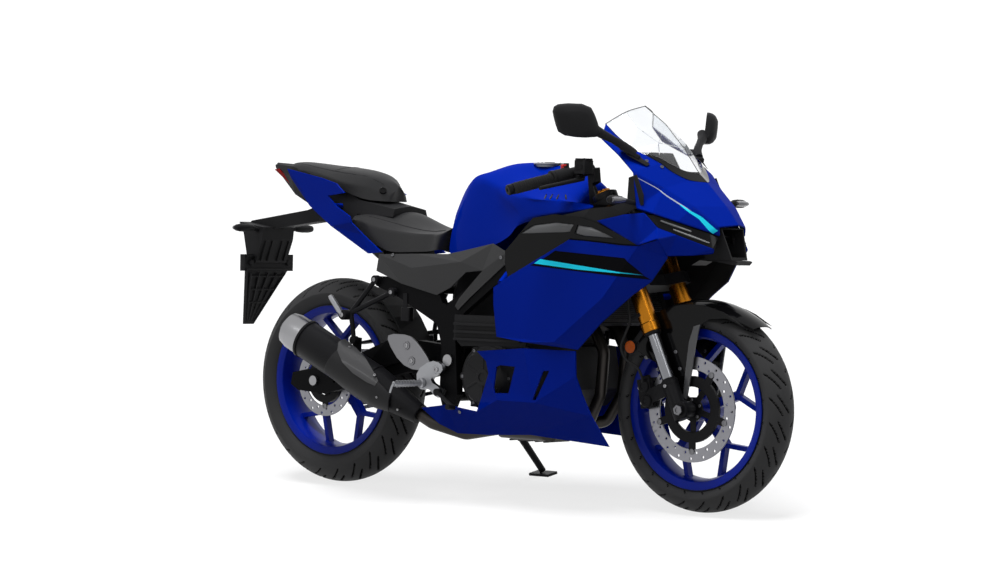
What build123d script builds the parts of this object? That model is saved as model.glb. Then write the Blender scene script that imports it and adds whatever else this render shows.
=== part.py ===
from build123d import *

import math
import os

# Sport motorcycle parked on its side stand.
# It is drawn upright: x forward from the rear axle, y to the rider's left, z up from the ground.
# At export the whole machine is leaned to the left and moved so that its tyres touch z = 0.

# ---------------------------------------------------------------- driving dimensions (mm, degrees)
WHEELBASE = 1380.0
RAKE = 25.0
TRAIL = 95.0
LEAN = 10.0
RUN_GAP = 0.3  # between pieces that seat on one another
DISC_ROOM = 7.5  # each side of a disc's middle plane, inside its caliper
HANGER_Y = -166.0  # middle of the silencer's hanger plate
TRIM_Y = -188.0  # inner face of the cowl's inner trims
PANEL = 4.0  # wall of the moulded bodywork

FRONT_TYRE_R = 293.0
FRONT_TYRE_W = 112.0
FRONT_CROWN_R = 62.0
FRONT_RIM_R = 228.0
FRONT_RIM_W = 92.0
REAR_TYRE_R = 314.0
REAR_TYRE_W = 142.0
REAR_CROWN_R = 76.0
REAR_RIM_R = 229.0
REAR_RIM_W = 116.0

FRONT_DISC_R = 149.0
FRONT_DISC_Y = -60.0
REAR_DISC_R = 110.0
REAR_DISC_Y = -82.0
FRONT_HUB_W = 104.0
REAR_HUB_W = 140.0
DISC_T = 4.5

FORK_HALF = 97.0  # half the spacing of the fork legs
FORK_OFFSET = 22.0  # legs ahead of the steering axis
OUTER_TUBE_R = 26.0
INNER_TUBE_R = 18.5
LUG_R = 23.0  # round lug at the foot of each leg
AXLE_R = 9.0

SPROCKET_Y = 88.0
REAR_SPROCKET_R = 88.0
FRONT_SPROCKET_R = 34.0
FRONT_SPROCKET = (638.0, 392.0)  # x and z
CHAIN_T = 14.0  # across the plates
CHAIN_H = 14.0  # height of a link

PIVOT = (570.0, 400.0)  # swingarm pivot, x and z
ARM_INNER = 96.0
ARM_OUTER = 130.0
FRAME_INNER = 140.0
FRAME_OUTER = 166.0

STAND_PIVOT = (545.0, 128.0, 236.0)
STAND_FOOT_X = 590.0
STAND_FOOT_Y = 262.0

# ---------------------------------------------------------------- derived frame of the steering
SIN_RAKE = math.sin(math.radians(RAKE))
COS_RAKE = math.cos(math.radians(RAKE))
AXIS_X = WHEELBASE + TRAIL  # where the steering axis meets the ground
AXIS_UP = Vector(-SIN_RAKE, 0, COS_RAKE)
AXIS_FORE = Vector(COS_RAKE, 0, SIN_RAKE)
AXLE_S = (WHEELBASE - AXIS_X) * -SIN_RAKE + FRONT_TYRE_R * COS_RAKE
AXLE_E = (WHEELBASE - AXIS_X) * COS_RAKE + FRONT_TYRE_R * SIN_RAKE

# Lean to the left about the ground line; the crown radius of the tyre lifts it a little.
LEAN_LIFT = REAR_CROWN_R * (1 - math.cos(math.radians(LEAN)))
CENTRE_X = 628.0
CENTRE_Y = 168.3


def parked(shape):
    """The upright machine's piece, leaned to the left and set over the middle of its outline."""
    return Pos(-CENTRE_X, -CENTRE_Y, LEAN_LIFT) * Rot(X=-LEAN) * shape


def fork_point(along, ahead, side):
    """A point given along the steering axis, ahead of it and to the left of it."""
    return Vector(AXIS_X, side, 0) + AXIS_UP * along + AXIS_FORE * ahead


def rod(start, end, radius, end_radius=None):
    """A round bar, or a cone, between two points."""
    start, end = Vector(*start), Vector(*end)
    plane = Plane(origin=start, z_dir=end - start)
    length = (end - start).length
    if end_radius is None or end_radius == radius:
        piece = Cylinder(radius, length, align=(Align.CENTER, Align.CENTER, Align.MIN))
    else:
        piece = Cone(radius, end_radius, length, align=(Align.CENTER, Align.CENTER, Align.MIN))
    return plane * piece


def ring(start, end, radius, bore):
    """A round tube between two points."""
    return rod(start, end, radius) - rod(start, end, bore)


def bar(start, end, wide, high, up=(0, 0, 1)):
    """A rectangular bar between two points; `high` lies towards `up`."""
    start, end = Vector(*start), Vector(*end)
    along = (end - start).normalized()
    cross = Vector(*up).cross(along)
    plane = Plane(origin=start, x_dir=cross, z_dir=along)
    piece = Box(wide, high, (end - start).length, align=(Align.CENTER, Align.CENTER, Align.MIN))
    return plane * piece


def pipe(points, radius, bend):
    """A bent round tube through the points, with one bend radius."""
    path = FilletPolyline(*points, radius=bend)
    return sweep(Plane(origin=path @ 0, z_dir=path % 0) * Circle(radius), path=path)


def slab(outline, low_y, high_y):
    """A flat outline of (x, z) points, as thick as from low_y to high_y."""
    face = make_face(Polyline(*[(x, low_y, z) for x, z in outline], close=True))
    return extrude(face, high_y - low_y, dir=(0, 1, 0))


def mirrored(shape):
    """The other side's piece."""
    return mirror(shape, about=Plane.XZ)


def both(shape):
    """A right-hand piece with its left-hand twin."""
    return Compound(children=[*shape.solids(), *mirrored(shape).solids()])


def group(*shapes):
    """Several solids that share a node."""
    return Compound(children=[solid for shape in shapes for solid in shape.solids()])


def facet_shell(points, facets, inward):
    """A folded sheet: each three-cornered facet is pushed inwards and joined to its neighbours."""
    push = Vector(*inward)
    prisms = []
    for names in facets:
        corners = [points[name] for name in names.split()]
        face = make_face(Polyline(*corners, close=True))
        prisms.append(extrude(face, push.length, dir=push))
    return prisms[0].fuse(*prisms[1:])


def peg(start, end, radius, stop):
    """A round peg from `start` that ends on the face of `stop`."""
    left = rod(start, end, radius) - stop
    return left.solids().sort_by_distance(Vector(*start))[0]


def section_loft(rows, section):
    """A solid through one closed section for each row."""
    faces = [make_face(Polyline(*section(*row), close=True)) for row in rows]
    return loft(faces, ruled=True)


# ---------------------------------------------------------------- wheels
def tyre(centre_x, outer_r, width, crown_r, rim_r, rim_w):
    """A low tyre with a round crown, on its rim's flanges."""
    half = width / 2
    seat = rim_w / 2 - 9
    bead = rim_r - 14
    flank_r = outer_r - crown_r * 0.62
    bulge_y = (seat + 3 + half) / 2 + 3.5
    bulge_r = (rim_r + 3 + flank_r) / 2 - 2.5
    with BuildSketch(Plane.YZ) as profile:
        with BuildLine():
            Line((-seat, bead), (seat, bead))
            Line((seat, bead), (seat + 3, rim_r + 3))
            ThreePointArc((seat + 3, rim_r + 3), (bulge_y, bulge_r), (half, flank_r))
            ThreePointArc((half, flank_r), (0, outer_r), (-half, flank_r))
            ThreePointArc((-half, flank_r), (-bulge_y, bulge_r), (-seat - 3, rim_r + 3))
            Line((-seat - 3, rim_r + 3), (-seat, bead))
        make_face()
    body = revolve(profile.sketch, axis=Axis.Y)
    return Pos(centre_x, 0, outer_r) * body


def rim(centre_x, outer_r, rim_r, rim_w, hub_r, hub_w, bore_r):
    """A cast rim: barrel, hub and five forked spokes."""
    flange = rim_w / 2
    seat = flange - 9 + RUN_GAP
    bead = rim_r - 14 - RUN_GAP
    with BuildSketch(Plane.YZ) as profile:
        with BuildLine():
            Polyline(
                (-flange, rim_r),
                (-flange + 5, rim_r),
                (-seat, bead),
                (-20, bead - 6),
                (20, bead - 6),
                (seat, bead),
                (flange - 5, rim_r),
                (flange, rim_r),
                (flange - 4, bead - 8),
                (24, bead - 16),
                (-24, bead - 16),
                (-flange + 4, bead - 8),
                close=True,
            )
        make_face()
    barrel = revolve(profile.sketch, axis=Axis.Y)
    hub = Rot(X=90) * Cylinder(hub_r, hub_w)
    spokes = []
    root, fork, tip = hub_r - 8, bead * 0.6, bead - 12
    for arm in range(5):
        turn = Rot(Y=arm * 72 - 20)
        stem = bar((root, 0, 0), (fork + 6, 0, 0), 26, 24, up=(0, 1, 0))
        legs = [bar((fork - 4, 0, 0), (tip * math.cos(a), 0, tip * math.sin(a)), 14, 22, up=(0, 1, 0))
                for a in (-math.radians(20), math.radians(20))]
        spokes += [turn * stem, turn * legs[0], turn * legs[1]]
    whole = barrel.fuse(hub, *spokes) - Rot(X=90) * Cylinder(bore_r, hub_w + 10)
    return Pos(centre_x, 0, outer_r) * whole


def disc(centre_x, centre_z, y, radius, width, holes):
    """A drilled brake disc."""
    plate = Rot(X=90) * Cylinder(radius, DISC_T)
    plate -= Rot(X=90) * Cylinder(radius - width, DISC_T + 2)
    drill = Rot(X=90) * Cylinder(4.0, DISC_T + 2)
    for index in range(holes):
        reach = radius - width * (0.28 + 0.44 * (index % 2))
        turn = math.radians(index * 360 / holes)
        plate -= Pos(reach * math.cos(turn), 0, reach * math.sin(turn)) * drill
    return Pos(centre_x, y, centre_z) * plate


def disc_carrier(centre_x, centre_z, y, hub_y, radius, bore_r):
    """The dark ring and five arms between a hub's face and its disc."""
    low, high = min(y + DISC_T / 2, hub_y), max(y + DISC_T / 2, hub_y)
    centre = Pos(centre_x, 0, centre_z)
    plate = rod((0, y - 2, 0), (0, high - RUN_GAP, 0), radius * 0.62)
    plate -= rod((0, y - 9, 0), (0, high + 9, 0), radius * 0.44)
    for index in range(5):
        turn = Rot(Y=index * 72 + 16)
        plate += turn * bar((radius * 0.5, y + 0.25, 0), (radius - 30, y + 0.25, 0), 20, 4.5, up=(0, 1, 0))
        plate += turn * bar((bore_r + 14, high - 2.3, 0), (radius * 0.5, high - 2.3, 0), 16, 4, up=(0, 1, 0))
    plate += rod((0, high - 4.3, 0), (0, high - RUN_GAP, 0), bore_r + 24)
    return centre * (plate - rod((0, low - 20, 0), (0, high + 20, 0), bore_r + 8))


# ---------------------------------------------------------------- frame, subframe, swingarm
HEAD_LOW, HEAD_HIGH = 730.0, 925.0  # head tube, along the steering axis
HEAD_R, STEM_R = 30.0, 15.0


def frame():
    """Steel frame: head tube, spars, Y-shaped side members, seat rails, cross tubes and stand bracket."""
    head = rod(fork_point(HEAD_LOW, 0, 0), fork_point(HEAD_HIGH, 0, 0), HEAD_R)
    low_lug, high_lug = (1128, 0, 700), (1092, 0, 790)
    member = [(905, 765), (918, 738), (822, 684), (612, 532), (592, 470), (604, 300), (586, 262), (548, 262),
              (535, 300), (540, 440), (520, 505), (372, 578), (276, 612), (262, 640), (398, 640), (460, 622), (512, 622), (540, 568),
              (556, 560), (790, 722)]
    side = slab(member, -FRAME_OUTER, -FRAME_INNER)
    spar = bar(high_lug, (890, -152, 748), 26, 42)
    down = bar(low_lug, (860, -152, 712), 24, 30)
    rail = pipe([(400, -146, 606), (366, -128, 620), (330, -120, 650), (269.4, -98, 697)], 11, 24)
    right = side.fuse(spar, down, rail)
    cross = [rod((x, -FRAME_INNER, z), (x, FRAME_INNER, z), 14) for x, z in ((566, 292), (566, 512), (488, 606))]
    whole = right.fuse(mirrored(right), head, *cross, stand_bracket())
    whole -= rod(fork_point(HEAD_LOW - 40, 0, 0), fork_point(HEAD_HIGH + 40, 0, 0), STEM_R + RUN_GAP)
    whole -= rod((PIVOT[0], -FRAME_OUTER - 1, PIVOT[1]), (PIVOT[0], FRAME_OUTER + 1, PIVOT[1]), 10 + RUN_GAP)
    return whole


def swingarm():
    """Two deep box arms joined by a cross beam, with axle plates at the back."""
    profile = [(600, 436), (600, 366), (540, 352), (380, 357), (40, 276), (-70, 282), (-100, 300), (-92, 336),
               (-20, 350), (60, 356), (290, 446), (420, 452)]
    arm = slab(profile, -ARM_OUTER, -ARM_INNER)
    lighten = slab([(500, 405), (420, 405), (180, 340), (150, 325), (250, 335), (420, 375)], -ARM_OUTER - 1, -ARM_OUTER + 8)
    arm -= lighten
    beam = Pos(462, 0, 404) * Box(70, 2 * ARM_INNER + 2, 74)
    barrel = rod((PIVOT[0], -FRAME_INNER + RUN_GAP, PIVOT[1]), (PIVOT[0], FRAME_INNER - RUN_GAP, PIVOT[1]), 30)
    whole = arm.fuse(mirrored(arm), beam, barrel)
    whole -= rod((PIVOT[0], -200, PIVOT[1]), (PIVOT[0], 200, PIVOT[1]), 10 + RUN_GAP)
    whole -= rod((0, -200, REAR_TYRE_R), (0, 200, REAR_TYRE_R), AXLE_R + RUN_GAP)
    for side in (-1, 1):
        whole -= rod((80, side * (ARM_OUTER + 1), 314), (80, side * (ARM_OUTER - 22), 314), 4.25)
    return whole - chain_corridor()


def swingarm_pivot():
    """Pivot bolt through the frame and the swingarm."""
    shaft = rod((PIVOT[0], -FRAME_OUTER - 8, PIVOT[1]), (PIVOT[0], FRAME_OUTER + 8, PIVOT[1]), 10)
    heads = [rod((PIVOT[0], s * (FRAME_OUTER + RUN_GAP), PIVOT[1]), (PIVOT[0], s * (FRAME_OUTER + 9), PIVOT[1]), 17) for s in (-1, 1)]
    return shaft.fuse(*heads)


def shock():
    """Rear shock absorber with its spring, between the cross beam and the frame."""
    foot, top = Vector(462, 0, 441), Vector(482, 0, 578)
    body = rod(foot, top, 16)
    along = (top - foot).normalized()
    for coil in range(6):
        centre = foot + along * (26 + coil * 16)
        body += rod(centre, centre + along * 9, 29)
    eye = rod((484, -22, 584), (484, 22, 584), 15)
    beam_top = Pos(462, 0, 411) * Box(90, 90, 60)
    return body.fuse(eye) - rod((488, -40, 606), (488, 40, 606), 14 + RUN_GAP) - beam_top


# ---------------------------------------------------------------- engine, cooling, exhaust
def crankcase():
    """Crankcase with its oil pan, as one closed casting."""
    case = slab([(625, 266), (640, 440), (760, 470), (960, 452), (985, 330), (930, 276), (780, 260)], -130, 130)
    pan = slab([(640, 267), (660, 182), (835, 178), (880, 277), (780, 261)], -44, 96)
    pocket = slab([(600, 290), (600, 480), (690, 480), (690, 290)], SPROCKET_Y - CHAIN_T, 140)
    return case.fuse(pan) - pocket


def front_sprocket_on_case():
    """The small sprocket with its shaft stub, standing in the crankcase's pocket."""
    x, z = FRONT_SPROCKET
    stub = rod((x, SPROCKET_Y - CHAIN_T + RUN_GAP, z), (x, SPROCKET_Y, z), 16)
    return front_sprocket().fuse(stub)


def cylinders():
    """Twin cylinder block and head, tilted forward, with cooling fins and a cam cover."""
    tilt = Rot(Y=22)
    block = Box(150, 196, 150, align=(Align.CENTER, Align.CENTER, Align.MIN))
    for fin in range(5):
        block += Pos(0, 0, 22 + fin * 24) * Box(162, 208, 8, align=(Align.CENTER, Align.CENTER, Align.MIN))
    cover = Pos(0, 0, 150) * Box(172, 226, 62, align=(Align.CENTER, Align.CENTER, Align.MIN))
    whole = Pos(850, 0, 462) * tilt * (block + cover)
    return whole - slab([(600, 240), (640, 440), (760, 470), (960, 452), (985, 330), (985, 240)], -131, 131)


def clutch_cover():
    """Round ribbed clutch cover on the right of the crankcase."""
    base = rod((705, -130 - RUN_GAP, 355), (705, -152, 355), 96)
    dome = rod((705, -152, 355), (705, -172, 355), 90, 74)
    boss = rod((820, -130 - RUN_GAP, 400), (820, -160, 400), 52)
    whole = base.fuse(dome, boss)
    for index in range(6):
        turn = math.radians(index * 60)
        whole += rod((705 + 88 * math.cos(turn), -130 - RUN_GAP, 355 + 88 * math.sin(turn)),
                     (705 + 88 * math.cos(turn), -158, 355 + 88 * math.sin(turn)), 11)
    return whole


def generator_cover():
    """Round generator cover and sprocket cover on the left of the crankcase."""
    base = rod((790, 130 + RUN_GAP, 350), (790, 158, 350), 84)
    dome = rod((790, 158, 350), (790, 174, 350), 78, 62)
    sprocket_case = slab([(650, 262), (650, 430), (714, 436), (728, 300), (706, 262)], 130 + RUN_GAP, 152)
    return base.fuse(dome, sprocket_case)


def radiator():
    """Radiator core with side tanks, behind the front wheel."""
    low, high = Vector(1108, 0, 522), Vector(1050, 0, 668)
    across = (high - low).normalized()
    up = (across.Z, 0, -across.X)
    core = bar(low, high, 310, 26, up=up)
    for index in range(11):
        at = low + across * (8 + index * 13)
        core += bar(at, at + across * 4, 306, 32, up=up)
    for side in (-1, 1):
        core += bar(low + Vector(0, side * 165, 0), high + Vector(0, side * 165, 0), 22, 36, up=up)
        core += bar((1050, side * 46, 660), (1050, side * 46, 690), 14, 14, up=(1, 0, 0))
    return core - frame()


def exhaust_headers():
    """Two header pipes that meet beside the oil pan and lead back to the silencer."""
    pipes = []
    for y in (-52, 52):
        route = [(950, y, 540), (1018, y, 513), (1058, y, 440), (1048, y, 320), (1000, y * 0.8, 236),
                 (874, -86 + y * 0.25, 214)]
        pipes.append(pipe(route, 17, 34).fuse(rod((968, y, 533), (986, y, 526), 30)))
    gather = rod((884, -88, 212), (720, -94, 208), 36, 30)
    tail = pipe([(726, -94, 208), (600, -116, 184), muffler_axis(1.66), muffler_axis(1.502)], 19, 30)
    return (pipes[0].fuse(pipes[1], gather, tail) - cylinders()).solids().sort_by(SortBy.VOLUME)[-1]


MUFFLER_TAIL = Vector(30, -214, 448)
MUFFLER_NOSE = Vector(318, -182, 306)
MUFFLER_R = 58.0


def muffler_axis(along):
    """A point along the silencer, 0 at its tail and 1 at its nose."""
    return MUFFLER_TAIL + (MUFFLER_NOSE - MUFFLER_TAIL) * along


def oval_loft(stations):
    """A loft through ellipses: (share along the silencer, half width, half height)."""
    along = (MUFFLER_NOSE - MUFFLER_TAIL).normalized()
    faces = [Plane(origin=muffler_axis(share), x_dir=(0, 1, 0), z_dir=along) * Ellipse(wide, high).face()
             for share, wide, high in stations]
    return loft(faces, ruled=True)


def muffler():
    """Silencer body with its cone, and the hanger that carries it."""
    body = oval_loft([(0.03, 52, MUFFLER_R), (0.85, 52, MUFFLER_R), (1.0, 50, 56), (1.5, 30, 30)])
    hanger = bar((203, HANGER_Y, 403), (206, HANGER_Y, 454), 30, 8, up=(0, 1, 0))
    return body.fuse(hanger)


def muffler_cap():
    """Brushed end cap with its outlet, cut aslant."""
    cap = oval_loft([(-0.19, 44, 50), (-0.12, 49, 56), (0.03 - 0.001, 51, 57)])
    outlet = oval_loft([(-0.3, 22, 24), (-0.1, 22, 24)])
    return cap - outlet


def muffler_shield():
    """Heat shield: a curved plate outside the silencer's front half."""
    outer = oval_loft([(0.42, 52 + 9, MUFFLER_R + 9), (1.02, 50 + 9, 56 + 9), (1.4, 45, 45)])
    inner = oval_loft([(0.40, 52 + 5, MUFFLER_R + 5), (1.02, 50 + 5, 56 + 5), (1.4, 41, 41), (1.5, 36, 36)])
    window = slab([(196, 420), (150, 352), (262, 262), (380, 236), (392, 292), (300, 372)], -300, -214)
    clips = [peg(muffler_axis(share) + Vector(0, -58, 0), muffler_axis(share), 8, muffler()) for share in (0.6, 0.9)]
    return ((outer - inner) & window).fuse(*clips)


# ---------------------------------------------------------------- tank, seats, tail
CAP_X, CAP_Z, CAP_R, CAP_T = 800.0, 985.0, 40.0, 12.0
HINGE_R, HINGE_HALF = 4.0, 10.0  # knuckle of the filler lid
HINGE_X, HINGE_Z = CAP_X + CAP_R + HINGE_R + 2, CAP_Z - 5


def body_section(x, crown, top, shoulder, half, waist, low, hem, hem_half):
    """A closed section across the machine, from its crown height down to its hem."""
    right = [(x, top, crown - 6), (x, half, shoulder), (x, waist, low), (x, hem_half, hem)]
    left = [(x, -y, z) for _, y, z in reversed(right)]
    return [(x, 0, crown), *right, *left]


def tank_section(x, crown, half_top, top, half_shoulder, shoulder, half_waist, waist, half_hem, hem):
    """A closed section across the tank, with a fold between crown and shoulder."""
    right = [(x, half_top, top), (x, half_shoulder, shoulder), (x, half_waist, waist), (x, half_hem, hem)]
    left = [(x, -y, z) for _, y, z in reversed(right)]
    return [(x, 0, crown), *right, *left]


def fuel_tank():
    """Fuel tank with its knee recesses and the two wings that reach ahead past the fork."""
    # x, crown z, half top, top z, half shoulder, shoulder z, half waist, waist z, half hem, hem z
    rows = [
        (488, 866, 28, 860, 42, 848, 74, 800, 92, 724),
        (522, 920, 40, 904, 60, 882, 95, 792, 104, 714),
        (600, 960, 60, 950, 92, 925, 116, 800, 128, 720),
        (690, 983, 54, 962, 110, 915, 126, 815, 138, 738),
        (774, 984, 60, 948, 127, 907, 146, 836, 156, 770),
        (850, 976, 66, 935, 150, 893, 168, 845, 168, 806),
        (930, 956, 80, 915, 160, 882, 181, 850, 183, 828),
        (990, 930, 87, 896, 158, 874, 186, 854, 186, 836),
    ]
    tank = section_loft(rows, tank_section)
    wing = slab([(985, 836.5), (1080, 850), (1102, 862), (1040, 871), (985, 873)], -182, -152)
    room = Pos(CAP_X, 0, CAP_Z + 50 - CAP_T - RUN_GAP) * Cylinder(CAP_R + RUN_GAP, 100)
    room += Pos(HINGE_X, 0, HINGE_Z + 20) * Box(2 * HINGE_R + 4, 2 * HINGE_HALF + 2 * RUN_GAP, 40 + 2 * HINGE_R + 2)
    pin = rod((HINGE_X, -HINGE_HALF - 4, HINGE_Z), (HINGE_X, HINGE_HALF + 4, HINGE_Z), HINGE_R / 2)
    ear = Pos(HINGE_X, HINGE_HALF + RUN_GAP + 2, HINGE_Z - 8) * Box(2 * HINGE_R, 4, 23)
    seats = [peg((900, side * 150, 832), (900, side * 150, 740), 9, frame()) for side in (-1, 1)]
    return (tank.fuse(wing, mirrored(wing)) - room).fuse(pin, ear, mirrored(ear), *seats)


def filler_cap():
    """Round lid over the filler, with its hinge knuckle at the front edge."""
    lid = Pos(CAP_X, 0, CAP_Z - CAP_T / 2) * Cylinder(CAP_R, CAP_T)
    tab = Pos((HINGE_X + CAP_X + CAP_R) / 2 - 3, 0, HINGE_Z) * Box(HINGE_X - CAP_X - CAP_R + 6, 2 * HINGE_HALF, 5)
    knuckle = rod((HINGE_X, -HINGE_HALF, HINGE_Z), (HINGE_X, HINGE_HALF, HINGE_Z), HINGE_R)
    bore = rod((HINGE_X, -HINGE_HALF - 1, HINGE_Z), (HINGE_X, HINGE_HALF + 1, HINGE_Z), HINGE_R / 2 + RUN_GAP)
    keyhole = Pos(CAP_X, 0, CAP_Z) * Box(24, 12, 6)
    return lid.fuse(tab, knuckle) - bore - keyhole


def rider_seat():
    """Rider's seat, wide at the back and narrow at the tank."""
    # x, crown z, half top, shoulder z, half shoulder, half waist, waist z, hem z, half hem
    rows = [
        (128, 832, 70, 826, 104, 114, 815, 804, 114),
        (200, 836, 66, 818, 108, 126, 798, 752, 128),
        (300, 830, 52, 802, 106, 128, 780, 713, 134),
        (420, 787, 34, 777, 92, 122, 768, 716, 134),
        (485, 806, 22, 795, 60, 104, 772, 722, 120),
    ]
    return section_loft(rows, body_section)


def pillion_seat():
    """Raised passenger seat with its steep front face."""
    rows = [
        (-192, 986, 24, 980, 36, 40, 970, 955, 40),
        (-20, 972, 44, 962, 66, 80, 944, 926, 82),
        (70, 966, 48, 952, 72, 92, 918, 893, 92),
        (140, 949, 48, 938, 66, 80, 912, 872, 84),
        (172, 938, 38, 928, 50, 68, 904, 866, 72),
        (216, 912, 12, 904, 24, 34, 888, 864, 40),
    ]
    return section_loft(rows, body_section)


def tail_core():
    """Black tail: the seat base, undertray and seat-rail covers between the blue sides."""
    rows = [  # same columns as the tank
        (-296, 984, 6, 978, 10, 11, 974, 966, 8),
        (-196, 978, 30, 972, 42, 46, 940, 884, 24),
        (-100, 960, 40, 950, 62, 68, 905, 842, 34),
        (20, 930, 46, 924, 76, 88, 850, 790, 60),
        (130, 876, 52, 868, 84, 98, 800, 742, 84),
        (262, 852, 50, 842, 72, 118, 710, 672, 108),
    ]
    return section_loft(rows, body_section) - pillion_seat() - rider_seat() - tail_light()


TAIL_POINTS = {
    # name: x, y, z on the right-hand side panel of the tail, which flares out towards the seat
    "tip": (-202, -57, 963), "edge": (-9, -109, 934), "edge_front": (74, -132, 917), "arm": (120, -145, 889),
    "notch": (28, -119, 880), "facet": (-121, -80, 903), "rear": (-180, -61, 934), "rear_mid": (-71, -92, 849),
    "slope": (80, -134, 847), "shelf": (149, -150, 817), "shelf_low": (156, -150, 799), "rear_low": (52, -128, 788),
    "front_low": (207, -150, 762), "point": (280, -150, 712), "sill": (227, -150, 707),
}
TAIL_FACETS = ["tip edge facet", "tip facet rear", "edge edge_front notch", "edge notch facet", "edge_front arm notch",
               "rear facet rear_mid", "facet notch rear_mid", "notch slope rear_mid", "rear_mid slope rear_low",
               "slope shelf rear_low", "shelf shelf_low rear_low", "shelf_low front_low rear_low",
               "rear_low front_low sill", "front_low point sill"]


def tail_side(core):
    """Blue right-hand side panel of the tail."""
    panel = facet_shell(TAIL_POINTS, TAIL_FACETS, (0, PANEL + 2, 0))
    seats = [peg((x, y, z), (x, 0, z), 7, core) for x, y, z in ((-90, -84, 898), (60, -125, 850), (226, -147, 722))]
    return panel.fuse(*seats)


def tail_light():
    """Red lamp strip down the tail's rear edge."""
    return slab([(-286, 962), (-270, 964), (-148, 888), (-156, 874)], -26, 26)


def plate_holder(core):
    """Arm, cross bracket and narrow blade behind the rear wheel."""
    arm = slab([(-60, 862), (-140, 836), (-380, 800), (-392, 790), (-380, 778), (-290, 776), (-96, 800)], -26, 26)
    head = slab([(-392, 796), (-286, 780), (-290, 742), (-318, 668), (-352, 668), (-372, 760)], -70, 70)
    wide = Pos(-336, 0, 668) * Box(20, 220, 52)
    blade = loft([
        Plane(origin=(-338, 0, 642), x_dir=(1, 0, 0), z_dir=(0, 0, -1)) * Rectangle(14, 180),
        Plane(origin=(-417 + 5, 0, 472), x_dir=(1, 0, 0), z_dir=(0, 0, -1)) * Rectangle(10, 40),
    ], ruled=True)
    return arm.fuse(head, wide, blade) - core


def rear_signals(holder):
    """Two turn signals on short stalks beside the plate bracket."""
    lamp = Pos(-306, -134, 777) * Box(38, 84, 26)
    stalk = peg((-308, -96, 775), (-322, -40, 764), 9, holder)
    return both(fillet(lamp.edges().filter_by(Axis.Y), 9).fuse(stalk))


SIDE_COVER_POINTS = {
    # name: x, y, z on the right-hand cover
    "rear_top": (279, -159, 706), "rear_low": (280, -170.5, 656), "low": (382, -170.5, 620),
    "low_front": (520, -170.5, 590), "notch": (574, -170.5, 614), "inner": (632, -170.5, 660),
    "triangle": (694, -170.5, 666), "leg_in": (608, -170.5, 584), "leg_end": (592, -170.5, 560),
    "leg_tip": (604, -170.5, 548), "leg_out": (654, -170.5, 590), "front_low": (788, -170.5, 692),
    "front": (785, -170.5, 722), "top_front": (720, -156, 746), "top_mid": (600, -152, 722),
    "top_bend": (544, -152, 712), "top_rear": (411, -153, 710), "crease": (420, -170.5, 668),
    "crease_front": (610, -170.5, 690),
}
SIDE_COVER_FACETS = ["rear_top rear_low low", "rear_top low crease", "rear_top crease top_rear", "crease low low_front",
                     "crease low_front notch", "crease notch inner", "crease inner crease_front",
                     "top_rear crease crease_front", "top_rear crease_front top_bend", "top_bend crease_front top_mid",
                     "top_mid crease_front top_front", "crease_front inner triangle", "crease_front triangle top_front",
                     "triangle front top_front", "triangle front_low front", "triangle leg_in leg_out",
                     "triangle leg_out front_low", "leg_in leg_end leg_tip", "leg_in leg_tip leg_out"]


def side_cover():
    """Matt cover under the seat, outside the frame, with the open triangle above the frame's fork."""
    return facet_shell(SIDE_COVER_POINTS, SIDE_COVER_FACETS, (0, PANEL, 0))


# ---------------------------------------------------------------- fairings
FAIRING_POINTS = {
    # name: x, y, z on the right-hand main fairing
    "top_rear": (1041, -205, 762), "top_mid": (1141, -209, 756), "top": (1229, -212, 749),
    "top_front": (1296, -215, 748), "arm": (1357, -205, 767), "tip": (1367, -175, 718),
    "front_high": (1321, -186, 650), "front": (1263, -195, 611), "front_low": (1160, -205, 528),
    "toe": (1080, -205, 451), "vent": (896, -220, 466), "heel": (790, -215, 478), "rear": (776, -215, 571),
    "shoulder": (773, -213, 619), "slope": (821, -212, 649), "ridge_top": (1178, -222, 600),
    "ridge_low": (1007, -222, 470),
}
FAIRING_FACETS = ["top_rear top_mid ridge_top", "top_mid top ridge_top", "top_rear ridge_top slope",
                  "slope ridge_top ridge_low", "slope ridge_low rear", "slope rear shoulder", "rear ridge_low heel",
                  "heel ridge_low vent", "top top_front ridge_top", "top_front front ridge_top",
                  "top_front front_high front", "top_front tip front_high", "top_front arm tip",
                  "ridge_top front front_low", "ridge_top front_low ridge_low", "ridge_low front_low toe",
                  "ridge_low toe vent"]

COWL_POINTS = {
    # name: x, y, z on the right-hand lower cowl
    "front_top": (1073, -205, 447), "front": (1074, -202, 375), "front_low": (1089, -190, 323),
    "lip": (1112, -175, 263), "tip": (1158, -150, 178), "belly": (1068, -150, 184), "belly_mid": (867, -145, 196),
    "belly_rear": (712, -140, 187), "tail_low": (598, -151, 186), "tail_bend": (541, -171, 212),
    "tail": (478, -180, 256), "tail_top": (577, -184, 270), "notch": (696, -185, 256), "rear": (718, -190, 300),
    "rear_mid": (755, -206, 370), "rear_high": (747, -208, 405), "rear_top": (714, -211, 433),
    "top": (893, -218, 448), "crease_rear": (790, -207, 294), "crease_front": (933, -213, 294),
}
COWL_FACETS = ["tail_top tail tail_bend", "tail_top tail_bend tail_low", "tail_top tail_low notch",
               "notch tail_low belly_rear", "notch belly_rear crease_rear", "notch crease_rear rear",
               "rear crease_rear rear_mid", "crease_rear belly_rear belly_mid", "crease_rear belly_mid crease_front",
               "crease_rear crease_front rear_mid", "rear_mid crease_front top", "rear_mid top rear_high",
               "rear_high top rear_top", "top crease_front front", "top front front_top",
               "crease_front front_low front", "crease_front lip front_low", "crease_front belly_mid lip",
               "belly_mid belly lip", "belly tip lip"]


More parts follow.
